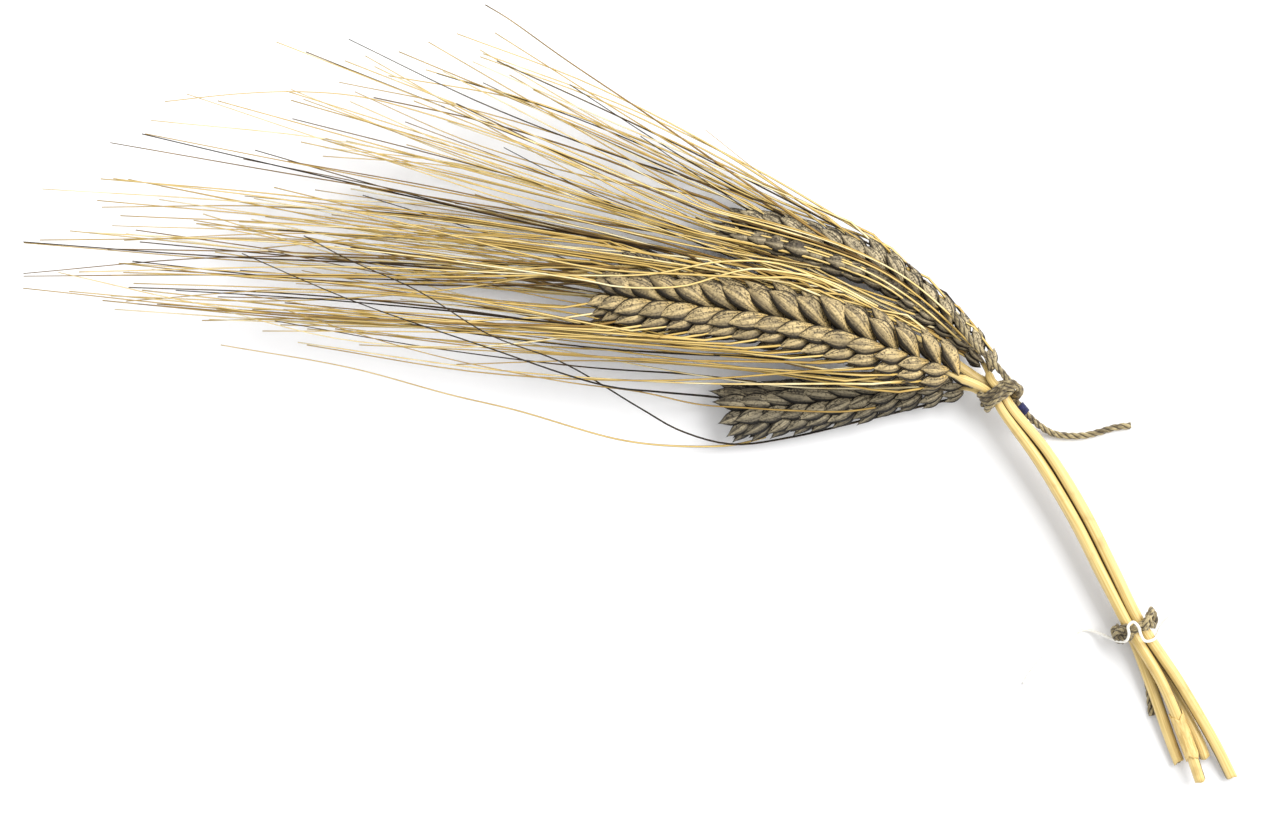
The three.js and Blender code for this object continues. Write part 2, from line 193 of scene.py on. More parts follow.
# %% Patches into one finished piece
def build(name, patches, finishes, nodes):
    """Joins patches into one smooth mesh, which rides on the bunch and stands for the CAD nodes."""
    starts = np.cumsum([0] + [len(p["points"]) for p in patches])
    points = np.concatenate([p["points"] for p in patches])
    quads = np.concatenate([p["quads"] + start for p, start in zip(patches, starts)])
    tris = np.concatenate([p["tris"] + start for p, start in zip(patches, starts)])
    corners = np.concatenate([quads.ravel(), tris.ravel()])
    mesh = bpy.data.meshes.new(name)
    mesh.vertices.add(len(points))
    mesh.vertices.foreach_set("co", points.ravel().astype(np.float32))
    mesh.loops.add(len(corners))
    mesh.loops.foreach_set("vertex_index", corners.astype(np.int32))
    mesh.polygons.add(len(quads) + len(tris))
    loop_start = np.concatenate([np.arange(len(quads)) * 4, 4 * len(quads) + np.arange(len(tris)) * 3])
    mesh.polygons.foreach_set("loop_start", loop_start.astype(np.int32))
    finish_of = [
        np.repeat([p["finish"] for p in patches], [len(p[kind]) for p in patches])
        for kind in ("quads", "tris")
    ]
    mesh.polygons.foreach_set("material_index", np.concatenate(finish_of).astype(np.int32))
    mesh.update(calc_edges=True)
    mesh.shade_smooth()
    surface = [p[kind].reshape(-1, 2) for kind in ("quad_map", "tri_map") for p in patches]
    surface_map = mesh.uv_layers.new(name="surface")
    surface_map.uv.foreach_set("vector", np.concatenate(surface).ravel().astype(np.float32))
    for title in ("tone", "ridge", "shade"):
        values = np.concatenate([p[title] for p in patches]).astype(np.float32)
        mesh.attributes.new(title, "FLOAT", "POINT").data.foreach_set("value", values)
    for finish in finishes:
        mesh.materials.append(finish)
    piece = bpy.data.objects.new(name, mesh)
    bpy.context.scene.collection.objects.link(piece)
    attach(piece, "root")
    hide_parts(*nodes)
    return piece


# %% [markdown]
# ## Colours and grain
# Dry plant skin is never one colour: it has fine streaks along its length, small dark
# speckles, and browner margins. Each effect is a node group that several finishes share.
# Streaks follow the surface's own map, and speckles sit in the object's space.


# %% Node helpers
def node(tree, kind, inputs=None, **settings):
    """A new node with its settings and inputs; an input is a value or another node's output."""
    made = tree.nodes.new(kind)
    for key, value in settings.items():
        setattr(made, key, value)
    for key, value in (inputs or {}).items():
        if isinstance(value, bpy.types.NodeSocket):
            tree.links.new(value, made.inputs[key])
        else:
            made.inputs[key].default_value = value
    return made


def arithmetic(tree, operation, a, b=0.0):
    """One sum on two values."""
    return node(tree, "ShaderNodeMath", {0: a, 1: b}, operation=operation).outputs[0]


def times(tree, a, b):
    """The product of two values."""
    return arithmetic(tree, "MULTIPLY", a, b)


def blend_colours(tree, share, a, b):
    """Colour a where share is 0, colour b where it is 1."""
    mix = node(tree, "ShaderNodeMix", {0: share, 6: a, 7: b}, data_type="RGBA")
    return mix.outputs[2]


def towards(tree, colour, paint, mask, share):
    """The colour drawn towards a paint by mask times share."""
    return blend_colours(tree, times(tree, mask, share), colour, paint)


def rising(tree, value, low, high):
    """0 below low, 1 above high and a smooth rise between."""
    ranged = node(
        tree, "ShaderNodeMapRange", {0: value, 1: low, 2: high, 3: 0.0, 4: 1.0},
        interpolation_type="SMOOTHSTEP",
    )
    return ranged.outputs[0]


def falling(tree, value, low, high):
    """1 below low, 0 above high and a smooth fall between."""
    return arithmetic(tree, "SUBTRACT", 1.0, rising(tree, value, low, high))


def group(name, inputs, outputs):
    """An empty node group with number inputs and named outputs, and its two end nodes."""
    tree = bpy.data.node_groups.new(name, "ShaderNodeTree")
    for title, value in inputs.items():
        socket = tree.interface.new_socket(title, in_out="INPUT", socket_type="NodeSocketFloat")
        socket.default_value = value
    for title in outputs:
        tree.interface.new_socket(title, in_out="OUTPUT", socket_type="NodeSocketFloat")
    return tree, tree.nodes.new("NodeGroupInput"), tree.nodes.new("NodeGroupOutput")


# %% Streaks: fine lines along a surface
def streak_group():
    """Noise that is squeezed round the surface and drawn out along it."""
    tree, given, result = group("streaks", {"Around": 40.0, "Along": 3.0, "Shift": 0.0}, ["Streak"])
    where = node(tree, "ShaderNodeUVMap", uv_map="surface").outputs[0]
    split = node(tree, "ShaderNodeSeparateXYZ", {0: where})
    # x is turned into a circle, so that the pattern meets itself where the map begins and ends
    angle = times(tree, split.outputs[0], 2 * np.pi)
    reach = times(tree, given.outputs["Around"], 1 / (2 * np.pi))
    spot = node(tree, "ShaderNodeCombineXYZ", {
        0: times(tree, arithmetic(tree, "COSINE", angle), reach),
        1: times(tree, arithmetic(tree, "SINE", angle), reach),
        2: times(tree, split.outputs[1], given.outputs["Along"]),
    })
    noise = node(tree, "ShaderNodeTexNoise", {
        "Vector": spot.outputs[0], "W": given.outputs["Shift"], "Scale": 1.0, "Detail": 3.0,
    }, noise_dimensions="4D")
    tree.links.new(noise.outputs[0], result.inputs["Streak"])
    return tree


# %% Speckle: small dark spots and broad blotches
FEWEST_SPOTS = 0.72  # a spot shows where the fine noise is above this, less a part of Amount
SPOT_EDGE = 0.08
BLOTCH_SCALE = 0.16  # the scale of the blotches, as a share of the spots' scale


def speckle_group():
    """Two noises in the object's space: sharp small spots, and soft large blotches."""
    tree, given, result = group("speckle", {"Size": 3000.0, "Amount": 0.5}, ["Spots", "Blotch"])
    where = node(tree, "ShaderNodeTexCoord").outputs["Object"]
    size, amount = given.outputs["Size"], given.outputs["Amount"]
    fine = node(tree, "ShaderNodeTexNoise", {"Vector": where, "Scale": size, "Detail": 2.0})
    broad_size = times(tree, size, BLOTCH_SCALE)
    broad = node(tree, "ShaderNodeTexNoise", {"Vector": where, "Scale": broad_size, "Detail": 3.0})
    threshold = arithmetic(tree, "SUBTRACT", FEWEST_SPOTS, times(tree, amount, 0.3))
    upper = arithmetic(tree, "ADD", threshold, SPOT_EDGE)
    spots = node(tree, "ShaderNodeMapRange", {0: fine.outputs[0], 1: threshold, 2: upper, 3: 0.0, 4: 1.0})
    tree.links.new(spots.outputs[0], result.inputs["Spots"])
    tree.links.new(broad.outputs[0], result.inputs["Blotch"])
    return tree


STREAKS = streak_group()
SPECKLE = speckle_group()


def new_finish(name, roughness, **settings):
    """A material with its Principled BSDF; settings are the shader's own inputs."""
    material = bpy.data.materials.new(name)
    material.use_nodes = True
    tree = material.node_tree
    shader = tree.nodes["Principled BSDF"]
    shader.inputs["Roughness"].default_value = roughness
    for key, value in settings.items():
        shader.inputs[key.replace("_", " ")].default_value = value
    return material, tree, shader


def painted(tree, title):
    """A value painted on the surface when it was built: tone, ridge or shade."""
    return node(tree, "ShaderNodeAttribute", attribute_name=title).outputs["Fac"]


def surface_place(tree):
    """The surface's own map, x round it and y along it, and the tone of the part."""
    where = node(tree, "ShaderNodeUVMap", uv_map="surface").outputs[0]
    split = node(tree, "ShaderNodeSeparateXYZ", {0: where})
    return split.outputs[0], split.outputs[1], painted(tree, "tone")


def use_group(tree, shared, **inputs):
    """A shared effect, placed with this material's own values."""
    return node(tree, "ShaderNodeGroup", inputs, node_tree=shared)


def add_bump(tree, shader, height, strength, distance):
    """Fine relief that only the light sees."""
    relief = node(tree, "ShaderNodeBump", {"Height": height, "Strength": strength, "Distance": distance})
    tree.links.new(relief.outputs[0], shader.inputs["Normal"])


# %% [markdown]
# ## The finish of straw
# Dry straw has a waxy skin of bright yellow. Under it run fine fibres, lighter and darker,
# and the skin browns a little in patches. A wood-like wave pattern would be too regular, so
# the fibres are drawn-out noise. A low coat gives the satin gloss.


# %% Straw
SHADED_STRAW = (0.10, 0.065, 0.025, 1)


def straw_finish(name, light, deep, brown):
    """Light and deep yellow in fine streaks, with soft brown patches, dark where it is shaded."""
    material, tree, shader = new_finish(name, 0.42, Coat_Weight=0.12, Coat_Roughness=0.35)
    tone = painted(tree, "tone")
    streak = use_group(tree, STREAKS, Around=26.0, Along=9.0, Shift=tone).outputs["Streak"]
    blotch = use_group(tree, SPECKLE, Size=1800.0, Amount=0.2).outputs["Blotch"]
    colour = blend_colours(tree, rising(tree, streak, 0.36, 0.62), deep, light)
    colour = towards(tree, colour, brown, rising(tree, blotch, 0.52, 0.75), 0.45)
    colour = towards(tree, colour, SHADED_STRAW, painted(tree, "shade"), 0.9)
    tree.links.new(colour, shader.inputs["Base Color"])
    add_bump(tree, shader, streak, 0.5, 0.12 * MM)
    return material


STRAW = straw_finish("dry_straw", (0.80, 0.60, 0.24, 1), (0.60, 0.42, 0.13, 1), (0.44, 0.27, 0.08, 1))
LEAF = straw_finish("dry_leaf", (0.80, 0.59, 0.23, 1), (0.60, 0.40, 0.12, 1), (0.42, 0.26, 0.08, 1))
print("straw finishes made")

# %% [markdown]
# ## The finish of husks
# A husk's back is ribbed by nerves that run to its tip. Its thin margins are dark, partly as the
# drier edge and partly as painted shade of the gap to the next husk, and the weather leaves grey
# and black specks. A highlight is painted along the keel, and shade on the flank past it.
# Younger husks keep a warm yellow at the base.
# The nerves could be modelled, but they are finer than a hair, so they are streaks of colour
# and bump. The margins follow the map: x is at the edge where its cosine is near 1 or -1.


# %% Husks
def husk_finish(name, light, deep, edge, warm, warm_share):
    """Fine dark nerves on a mottled back, a painted highlight on the keel, painted shade past it,
    a warm base, and dark margins that are partly the drier edge and partly painted shade of the gaps.
    """
    material, tree, shader = new_finish(name, 0.6, Specular_IOR_Level=0.3)
    around, along, tone = surface_place(tree)
    shift = times(tree, tone, 9.0)
    nerves = use_group(tree, STREAKS, Around=34.0, Along=1.6, Shift=shift).outputs["Streak"]
    marks = use_group(tree, SPECKLE, Size=2400.0, Amount=0.62)
    spots = marks.outputs["Spots"]
    mottle = times(tree, marks.outputs["Blotch"], 0.66)
    share = arithmetic(tree, "ADD", times(tree, tone, 0.45), mottle)
    colour = blend_colours(tree, rising(tree, share, 0.30, 0.74), deep, light)
    base = times(tree, falling(tree, along, 0.10, 0.48), tone)
    colour = towards(tree, colour, warm, base, warm_share)
    colour = towards(tree, colour, deep, falling(tree, nerves, 0.43, 0.52), 0.78)
    colour = towards(tree, colour, light, rising(tree, nerves, 0.55, 0.64), 0.6)
    colour = towards(tree, colour, edge, spots, 0.7)
    # painted shade on the flank past the keel
    colour = towards(tree, colour, deep, painted(tree, "shade"), 0.55)
    # painted highlight along the keel
    colour = towards(tree, colour, light, painted(tree, "ridge"), 0.5)
    # dark margins: partly the husk's drier edge, partly painted shade of the gap to the next husk
    sideways = arithmetic(tree, "COSINE", times(tree, around, 2 * np.pi))
    rim = rising(tree, arithmetic(tree, "ABSOLUTE", sideways), 0.70, 0.84)
    margin_and_gap_shade = arithmetic(tree, "MAXIMUM", rim, rising(tree, along, 0.90, 0.98))
    colour = towards(tree, colour, edge, margin_and_gap_shade, 0.93)
    tree.links.new(colour, shader.inputs["Base Color"])
    relief = arithmetic(tree, "ADD", nerves, times(tree, spots, -0.4))
    add_bump(tree, shader, relief, 0.9, 0.25 * MM)
    return material


GOLDEN_HUSK = husk_finish(
    "golden_husk", (0.63, 0.48, 0.235, 1), (0.105, 0.082, 0.052, 1), (0.010, 0.008, 0.006, 1),
    (0.86, 0.57, 0.17, 1), 1.0,
)
DARK_HUSK = husk_finish(
    "dark_husk", (0.42, 0.355, 0.23, 1), (0.035, 0.03, 0.024, 1), (0.005, 0.004, 0.004, 1),
    (0.50, 0.34, 0.14, 1), 0.25,
)
PALE_HUSK = husk_finish(
    "pale_husk", (0.62, 0.51, 0.31, 1), (0.06, 0.047, 0.032, 1), (0.009, 0.007, 0.005, 1),
    (0.62, 0.42, 0.16, 1), 0.5,
)
BROWN_HUSK = husk_finish(
    "brown_husk", (0.36, 0.29, 0.18, 1), (0.04, 0.032, 0.024, 1), (0.007, 0.005, 0.004, 1),
    (0.40, 0.27, 0.11, 1), 0.3,
)
print("husk finishes made")

# %% [markdown]
# ## The finish of awns
# An awn has a sharp crest. Shade is painted on its two lower sides, so that it is light only along
# the crest. Most are gold, some are cream, and a few are nearly black. One material serves them
# all, because the tone of each awn picks its colour from a ramp.


# %% Awns
AWN_COLOURS = [
    (0.0, (0.010, 0.007, 0.006, 1)), (0.12, (0.05, 0.032, 0.016, 1)), (0.35, (0.32, 0.19, 0.05, 1)),
    (0.65, (0.64, 0.44, 0.13, 1)), (0.9, (0.86, 0.65, 0.26, 1)), (1.0, (0.97, 0.85, 0.52, 1)),
]
# painted shade for the lower sides of every awn
AWN_SIDE_SHADE = (0.09, 0.052, 0.018, 1)


def awn_finish():
    """A ramp from black to cream by the awn's tone, with painted shade on its lower sides."""
    material, tree, shader = new_finish("awn", 0.5, Specular_IOR_Level=0.2)
    around, _, tone = surface_place(tree)
    blotch = use_group(tree, SPECKLE, Size=900.0, Amount=0.3).outputs["Blotch"]
    drift = times(tree, arithmetic(tree, "SUBTRACT", blotch, 0.5), 0.5)
    ramp = node(tree, "ShaderNodeValToRGB", {0: arithmetic(tree, "ADD", tone, drift)})
    stops = ramp.color_ramp.elements
    for number, (place, colour) in enumerate(AWN_COLOURS):
        stop = stops[number] if number < 2 else stops.new(place)  # a new ramp has two stops
        stop.position = place
        stop.color = colour
    # painted shade on the lower sides, so that only the crest stays light
    crest = arithmetic(tree, "SINE", times(tree, around, 2 * np.pi))
    lower = falling(tree, crest, 0.15, 0.6)
    colour = towards(tree, ramp.outputs[0], AWN_SIDE_SHADE, lower, 0.9)
    tree.links.new(colour, shader.inputs["Base Color"])
    return material


AWN = awn_finish()

# %% [markdown]
# ## The free twine and thread
# The upper tie has one long free end, and a white thread hangs from the lower tie.
# They are loose cords, so their real routes and lengths come first. Twine is three plies
# twisted together. Three separate tubes would do, but one skin is lighter: its section is a
# circle with three grooves, and it turns as it goes.

# %% Routes of the cords
TWINE_RADIUS = 0.72 * MM
THREAD_RADIUS = 0.3 * MM
TWINE_TAIL = MM * np.array([
    (77, 2, 5.2), (78.5, -0.4, 4.6), (80.6, -3.1, 4.4), (82.1, -4.7, 3.6), (84.2, -6.4, 2.2),
    (86.9, -7.9, 1.2), (90.2, -8.4, 0.8), (93.5, -8.3, 0.75), (96.5, -7.6, 0.75),
    (99.6, -6.7, 0.75), (102.9, -6.3, 0.75),
])
LABEL_THREAD = MM * np.array([
    (111.2, -45.3, 0.4), (109.9, -46.5, 2), (108.5, -48, 4.6), (107.1, -49.9, 7.8),
    (105.2, -50.2, 8.9), (104.3, -48.9, 9.4), (103.8, -47.3, 9.7), (102.7, -46.3, 9.8), (101.7, -47.2, 9.7),
    (101.9, -48.8, 9.2), (101.4, -50.2, 8.3), (99.8, -50.3, 6.4), (98, -49.6, 3.8),
    (95.8, -48.7, 1.4), (93.4, -48.2, 0.45), (91, -49.2, 0.4), (88.9, -50.5, 0.4),
    (86.9, -52, 0.4), (84.8, -54, 0.4), (82.9, -56.1, 0.4), (80.8, -59.2, 0.4),
])


# %% Twine: three plies twisted together
PLIES = 3
PLY_PITCH = 5.2 * MM
GROOVE = 0.34  # depth of the groove between two plies, as a share of the radius
TWINE_SIDES = 24
TWINE_STEP = 0.28 * MM
HAIR_ROOT, HAIR_TIP = 0.045, 0.02  # radii in mm
LOWEST_HAIR = 0.1 * MM


def twine(points, reference=UP, phase=0.0):
    """A grooved skin along the route, and its path.

    At angle a its radius is R (1 - groove (1 - |cos(plies (a - twist) / 2)|)), and the twist
    grows evenly along the route.
    """
    rough = curve_through(points, 200)
    path = curve_through(points, max(8, int(length_of(rough) / TWINE_STEP)))
    around, turn = outward(path, TWINE_SIDES, reference)
    twist = phase + np.linspace(0, length_of(path) / PLY_PITCH, len(path)) * 2 * np.pi
    lobes = np.abs(np.cos(PLIES * (turn[None] - twist[:, None]) / 2))
    reach = TWINE_RADIUS * (1 - GROOVE * (1 - lobes))
    patch = skin(path[:, None] + reach[..., None] * around, path[0], path[-1])
    # the tone holds how near each point lies to a ply's middle; the finish paints shade into the grooves
    # from it
    patch["tone"][:reach.size] = lobes.ravel()
    return patch, path


def fibres(path, count, reach):
    """Short loose hairs that stand off a twine, each a fine bent needle."""
    patches = []
    for _ in range(count):
        place = rng.integers(1, len(path) - 1)
        ahead = unit(path[place + 1] - path[place - 1])
        away = unit(np.cross(ahead, unit(rng.normal(size=3))))
        length = reach * rng.uniform(0.4, 1)
        foot = path[place] + away * TWINE_RADIUS * 0.7
        middle = foot + (away * 0.5 + ahead * rng.uniform(-0.6, 0.6)) * length * 0.6
        end = middle + (away * rng.uniform(-0.2, 0.5) + ahead * rng.uniform(-0.8, 0.8)) * length * 0.5
        line = curve_through([foot, middle, end], 5)
        line[:, 2] = np.maximum(line[:, 2], LOWEST_HAIR)
        thin = np.linspace(HAIR_ROOT, HAIR_TIP, 5) * MM
        patches.append(tube(line, thin, 3, unit(rng.normal(size=3)), rng.uniform(0.5, 1)))
    return patches


# %% Finishes of the cords
def twine_finish():
    """Jute: tan plies with fine slanting fibres, and painted shade in the grooves between them."""
    material, tree, shader = new_finish("jute_twine", 0.85, Sheen_Weight=0.2)
    streak = use_group(tree, STREAKS, Around=34.0, Along=14.0, Shift=0.0).outputs["Streak"]
    blotch = use_group(tree, SPECKLE, Size=3200.0, Amount=0.5).outputs["Blotch"]
    mixed = arithmetic(tree, "ADD", times(tree, blotch, 0.5), times(tree, streak, 0.5))
    fibre = rising(tree, mixed, 0.38, 0.62)
    colour = blend_colours(tree, fibre, (0.08, 0.056, 0.028, 1), (0.52, 0.42, 0.22, 1))
    # painted shade in the grooves between the plies
    groove = falling(tree, painted(tree, "tone"), 0.2, 0.68)
    colour = towards(tree, colour, (0.035, 0.025, 0.016, 1), groove, 0.9)
    tree.links.new(colour, shader.inputs["Base Color"])
    add_bump(tree, shader, streak, 0.9, 0.2 * MM)
    return material


def thread_finish(name, light, deep):
    """Spun thread: two near shades in fine slanting streaks."""
    material, tree, shader = new_finish(name, 0.7, Sheen_Weight=0.2)
    streak = use_group(tree, STREAKS, Around=14.0, Along=60.0, Shift=0.0).outputs["Streak"]
    colour = blend_colours(tree, rising(tree, streak, 0.35, 0.6), deep, light)
    tree.links.new(colour, shader.inputs["Base Color"])
    add_bump(tree, shader, streak, 0.6, 0.1 * MM)
    return material


TWINE = twine_finish()
BLUE_THREAD = thread_finish("blue_thread", (0.008, 0.011, 0.10, 1), (0.002, 0.002, 0.018, 1))
WHITE_THREAD = thread_finish("white_thread", (0.95, 0.93, 0.87, 1), (0.80, 0.76, 0.66, 1))

# %% The twine's free end, with its blue whipping
WHIPPING_AT = 0.17  # share of the tail's length
WHIPPING_LENGTH = 2.4 * MM
WHIPPING_TURNS = 7
WHIPPING_STEPS = 16  # places in one turn
WHIPPING_RADIUS = 0.2 * MM

tail_patch, tail_path = twine(TWINE_TAIL)
frayed = fibres(tail_path[-8:], 14, 1.3 * MM)
loose = fibres(tail_path, 40, 1.0 * MM)
twine_tail = build("twine_free_end", [tail_patch, *frayed, *loose], [TWINE], ["twine_tail"])

first = int(WHIPPING_AT * len(tail_path))
covered = max(4, int(WHIPPING_LENGTH / TWINE_STEP))
core = curve_through(tail_path[first:first + covered], WHIPPING_TURNS * WHIPPING_STEPS)
_, core_side, core_up = axes_along(core)
turns = np.linspace(0, WHIPPING_TURNS * 2 * np.pi, len(core))[:, None]
coil_radius = TWINE_RADIUS + 0.6 * WHIPPING_RADIUS
winding = core + coil_radius * (core_side * np.cos(turns) + core_up * np.sin(turns))
core_ahead = unit(core[-1] - core[0])
whipping = build(
    "blue_thread_whipping", [tube(winding, WHIPPING_RADIUS, 8, core_ahead)],
    [BLUE_THREAD], ["blue_whipping"],
)
print("twine tail in mm:", round(length_of(tail_path) / MM, 1))

# %% The white thread
thread_path = curve_through(LABEL_THREAD, 220)
thread = build(
    "white_label_thread", [tube(thread_path, THREAD_RADIUS, 10)],
    [WHITE_THREAD], ["label_thread"],
)
print("white thread in mm:", round(length_of(thread_path) / MM, 1))

# %% [markdown]
# ## The plan of the bunch
# Each ear grows on its own straw. A straw runs from its cut end through both ties, bends
# away as a neck, and goes on inside the ear as its axis. The routes could be drawn by hand as
# curves, but a table of places keeps them beside the design's. They follow it closely, and
# only pull the straws a little nearer together where the twine grips them.

# %% Straws through the two ties, and the ears' axes
BUNDLE = MM * np.array([
    (74, 1.3, 7), (75.2, 0.1, 7), (77.2, -3.2, 7), (84.5, -12.6, 6.7), (91.8, -24.5, 6.2),
    (97.6, -35.9, 5.6), (103.3, -47.1, 4.8),
])
BUNDLE_SPREAD = np.array([0.7, 0.66, 0.68, 0.92, 0.95, 0.94, 0.86])

# in_bundle is a straw's place across and up in the bundle, in mm. roll turns the ear on its own
# length, in degrees. The spikelets stand from first_at to last_at, as shares of the ear's axis;
# first_size is the growth of the first, and the last ones shrink later where tip_growth is high.
EARS = {
    "front": {
        "in_bundle": (-1.32, 1.32),
        "cut_end": [(109, -58.9, 5.6), (114.3, -71.5, 3.9), (116.9, -79, 3.6)],
        "neck": [(71.4, 1.9, 9.3)],
        "ear": [
            (66.9, 3.7, 10.4), (61, 6, 12.4), (55.3, 7.8, 14), (45.1, 11.2, 15.2),
            (29.8, 14.9, 15.2), (14.5, 17.3, 14.9), (2.2, 18.8, 14.5), (-5.9, 19.4, 14.2),
        ],
        "roll": 20, "first_at": 0.0, "first_size": 0.76, "last_at": 0.94, "tip_growth": 2.8,
        "spikelets": 15,
    },
    "dark": {
        "in_bundle": (-1.32, -1.32),
        "cut_end": [(106.7, -58.9, 3), (111.2, -71.5, 1.6), (112.7, -75.3, 1.3)],
        "neck": [(72.6, 0.8, 5.8)],
        "ear": [
            (70.4, 1.1, 5.3), (68.2, 1.4, 5), (60, 0.8, 4.8), (47.1, -0.8, 4.6), (35, -2.2, 4.5),
            (24, -3.4, 4.4),
        ],
        "roll": 12, "first_at": 0.0, "first_size": 0.5, "last_at": 1.0, "tip_growth": 4,
        "spikelets": 11,
    },
    "right": {
        "in_bundle": (1.32, 1.32),
        "cut_end": [(112.5, -58.9, 4.9), (120, -71.5, 2.6), (123.5, -78.4, 1.3)],
        "neck": [(73.9, 2.9, 7.6)],
        "ear": [
            (73.3, 4.4, 7.1), (71.7, 7.4, 5.9), (66.9, 12.6, 4.8), (60.4, 18.2, 4.7), (53.3, 23.5, 4.6),
            (45.1, 27.3, 4.6), (34.9, 30.8, 4.6), (22.7, 33.9, 4.5), (13.5, 36.1, 4.4),
        ],
        "roll": 10, "first_at": 0.0, "first_size": 0.52, "spikelets": 15,
    },
    "back": {
        "in_bundle": (1.32, -1.32),
        "cut_end": [(110.6, -58.9, 2.3), (117, -71.5, 1.4), (118, -74.3, 1.25)],
        "neck": [(71.6, 3.1, 5.8), (68.6, 5.1, 6.2), (61.6, 9.9, 6.4)],
        "ear": [
            (55.4, 12.6, 6), (45.1, 15.8, 5.2), (32.9, 18.4, 4.8), (18.6, 21, 4.6),
            (4.3, 24.1, 4.4), (-8, 27.6, 4.2),
        ],
        "roll": -8, "first_at": 0.08, "first_size": 0.66, "spikelets": 13,
    },
}


def through_the_ties(in_bundle):
    """A straw's points between the ties: the bundle's middle, plus its place across and up."""
    middle = curve_through(BUNDLE, 200)
    _, side, _ = axes_along(middle)
    reached = distances(BUNDLE)
    place = np.round(reached / reached[-1] * (len(middle) - 1)).astype(int)
    across, up = np.array(in_bundle) * MM
    spread = BUNDLE_SPREAD[:, None]
    return BUNDLE + side[place] * across * spread + UP * up * spread


def straw_points(plan):
    """All the points of a straw, from its cut end to the ear's tip, and the number of the ear's first."""
    stalk = MM * np.array(plan["cut_end"][::-1])
    tied = through_the_ties(plan["in_bundle"])[::-1]
    neck, ear = MM * np.array(plan["neck"]), MM * np.array(plan["ear"])
    return np.vstack([stalk, tied, neck, ear]), len(stalk) + len(tied) + len(neck)


for name, plan in EARS.items():
    plan["points"], foot = straw_points(plan)
    plan["axis"] = curve_through(plan["points"], 240, foot)
    print(name, "ear in mm:", round(length_of(plan["axis"]) / MM, 1))

# %% [markdown]
# ## Straws
# A straw is a pipe. A solid rod with a dark disc on its end would pass from afar, but at the
# cut the bore shows, so the skin starts deep in the bore, comes out over the ragged rim and
# then runs the whole length. It thins where the tie grips it and again at the neck. Below
# each ear sits a small ringed joint.

# %% Straw shape
STRAW_RADIUS = 1.15 * MM
FULL_RADIUS = 1.22 * MM
TIED_RADIUS = 0.86 * MM
NECK_RADIUS = 0.95 * MM
RACHIS_RADIUS = 0.5 * MM
RACHIS_TIP_RADIUS = 0.3 * MM
BORE_SHARE = 0.6
BORE_DEPTH = 3 * MM
JOINT_RINGS = ((0.4, 0.30), (1.3, 0.22))  # how far below the ear, and how high, in mm
JOINT_WIDTH = 0.35 * MM
STRAW_SIDES = 28
STRAW_RINGS = 260


def straw(plan, tone):
    """Rings along the straw: bore bottom, bore mouth, rim and then the outside to the ear's tip.

    The radius is read from a table by the distance from the ear's tip, and each ring of the joint
    adds a bell curve to it. The cut edge waves by two cosines of the angle. Shade is painted on the
    side that faces the next straw, because no light reaches into the gap. It is also painted on the
    underside, in the bore, and along the part inside the ear, under the husks.
    """
    path = curve_through(plan["points"], STRAW_RINGS)
    whole, ear = length_of(path), length_of(plan["axis"])
    from_tip = np.linspace(whole, 0, STRAW_RINGS)
    firm = whole - length_of(curve_through(plan["points"][:4], 50))
    reach = [0, ear, ear + 2 * MM, ear + 6 * MM, ear + 28 * MM, firm, whole]
    radius = np.interp(from_tip, reach, [
        RACHIS_TIP_RADIUS, RACHIS_RADIUS, NECK_RADIUS, TIED_RADIUS, FULL_RADIUS, FULL_RADIUS, STRAW_RADIUS,
    ])
    for below, swell in JOINT_RINGS:
        radius = radius + swell * MM * np.exp(-((from_tip - ear - below * MM) / JOINT_WIDTH) ** 2)
    around, turn = outward(path, STRAW_SIDES)
    outside = path[:, None] + radius[:, None, None] * around
    ahead = unit(path[1] - path[0])
    ragged = MM * (0.25 * np.cos(turn + tone * 9) + 0.12 * np.cos(3 * turn + tone * 20))
    outside[0] += ragged[:, None] * ahead
    bore = path[0] + STRAW_RADIUS * BORE_SHARE * around[0]
    mouth = bore + ragged[:, None] * ahead
    bottom = bore + BORE_DEPTH * ahead
    rings = np.concatenate([bottom[None], mouth[None], outside])
    patch = skin(rings, path[0] + BORE_DEPTH * ahead, path[-1], tone)
    # painted shade: the part inside the ear, the underside, the side towards the next straw, and the bore
    inside_ear = np.clip((ear - 1.5 * MM - from_tip) / (2 * MM), 0, 1)
    underside = 0.75 * np.clip((0.2 - np.sin(turn)) / 0.3, 0, 1)
    gap = np.clip((np.cos(turn) * np.sign(plan["in_bundle"][0]) - 0.78) / 0.1, 0, 1)
    underside = np.maximum(underside, gap)
    patch["shade"][2 * STRAW_SIDES:-2] = np.maximum(inside_ear[:, None], underside).ravel()
    patch["shade"][-1] = 1
    patch["shade"][:2 * STRAW_SIDES] = 0.8
    patch["shade"][-2] = 1
    return patch


for number, (name, plan) in enumerate(EARS.items()):
    build(f"{name}_culm", [straw(plan, 0.2 + 0.23 * number)], [STRAW], [f"{name}_straw"])
print("straws made:", len(EARS))

# %% [markdown]
# ## The leaf sheath
# A dry leaf's sheath still wraps the longest straw near its cut. It is a thin papery
# sleeve with torn ends. A Solidify modifier could give a sheet its wall; here one closed skin
# goes up the outside and back down the inside, so that the torn ends close themselves.

# %% Leaf sheath
SHEATH_FROM, SHEATH_TO = 4.6 * MM, 15.5 * MM
SHEATH_BORE = STRAW_RADIUS + 0.1 * MM
SHEATH_WALL = 0.22 * MM
SHEATH_RINGS = 26
SHEATH_SIDES = 30


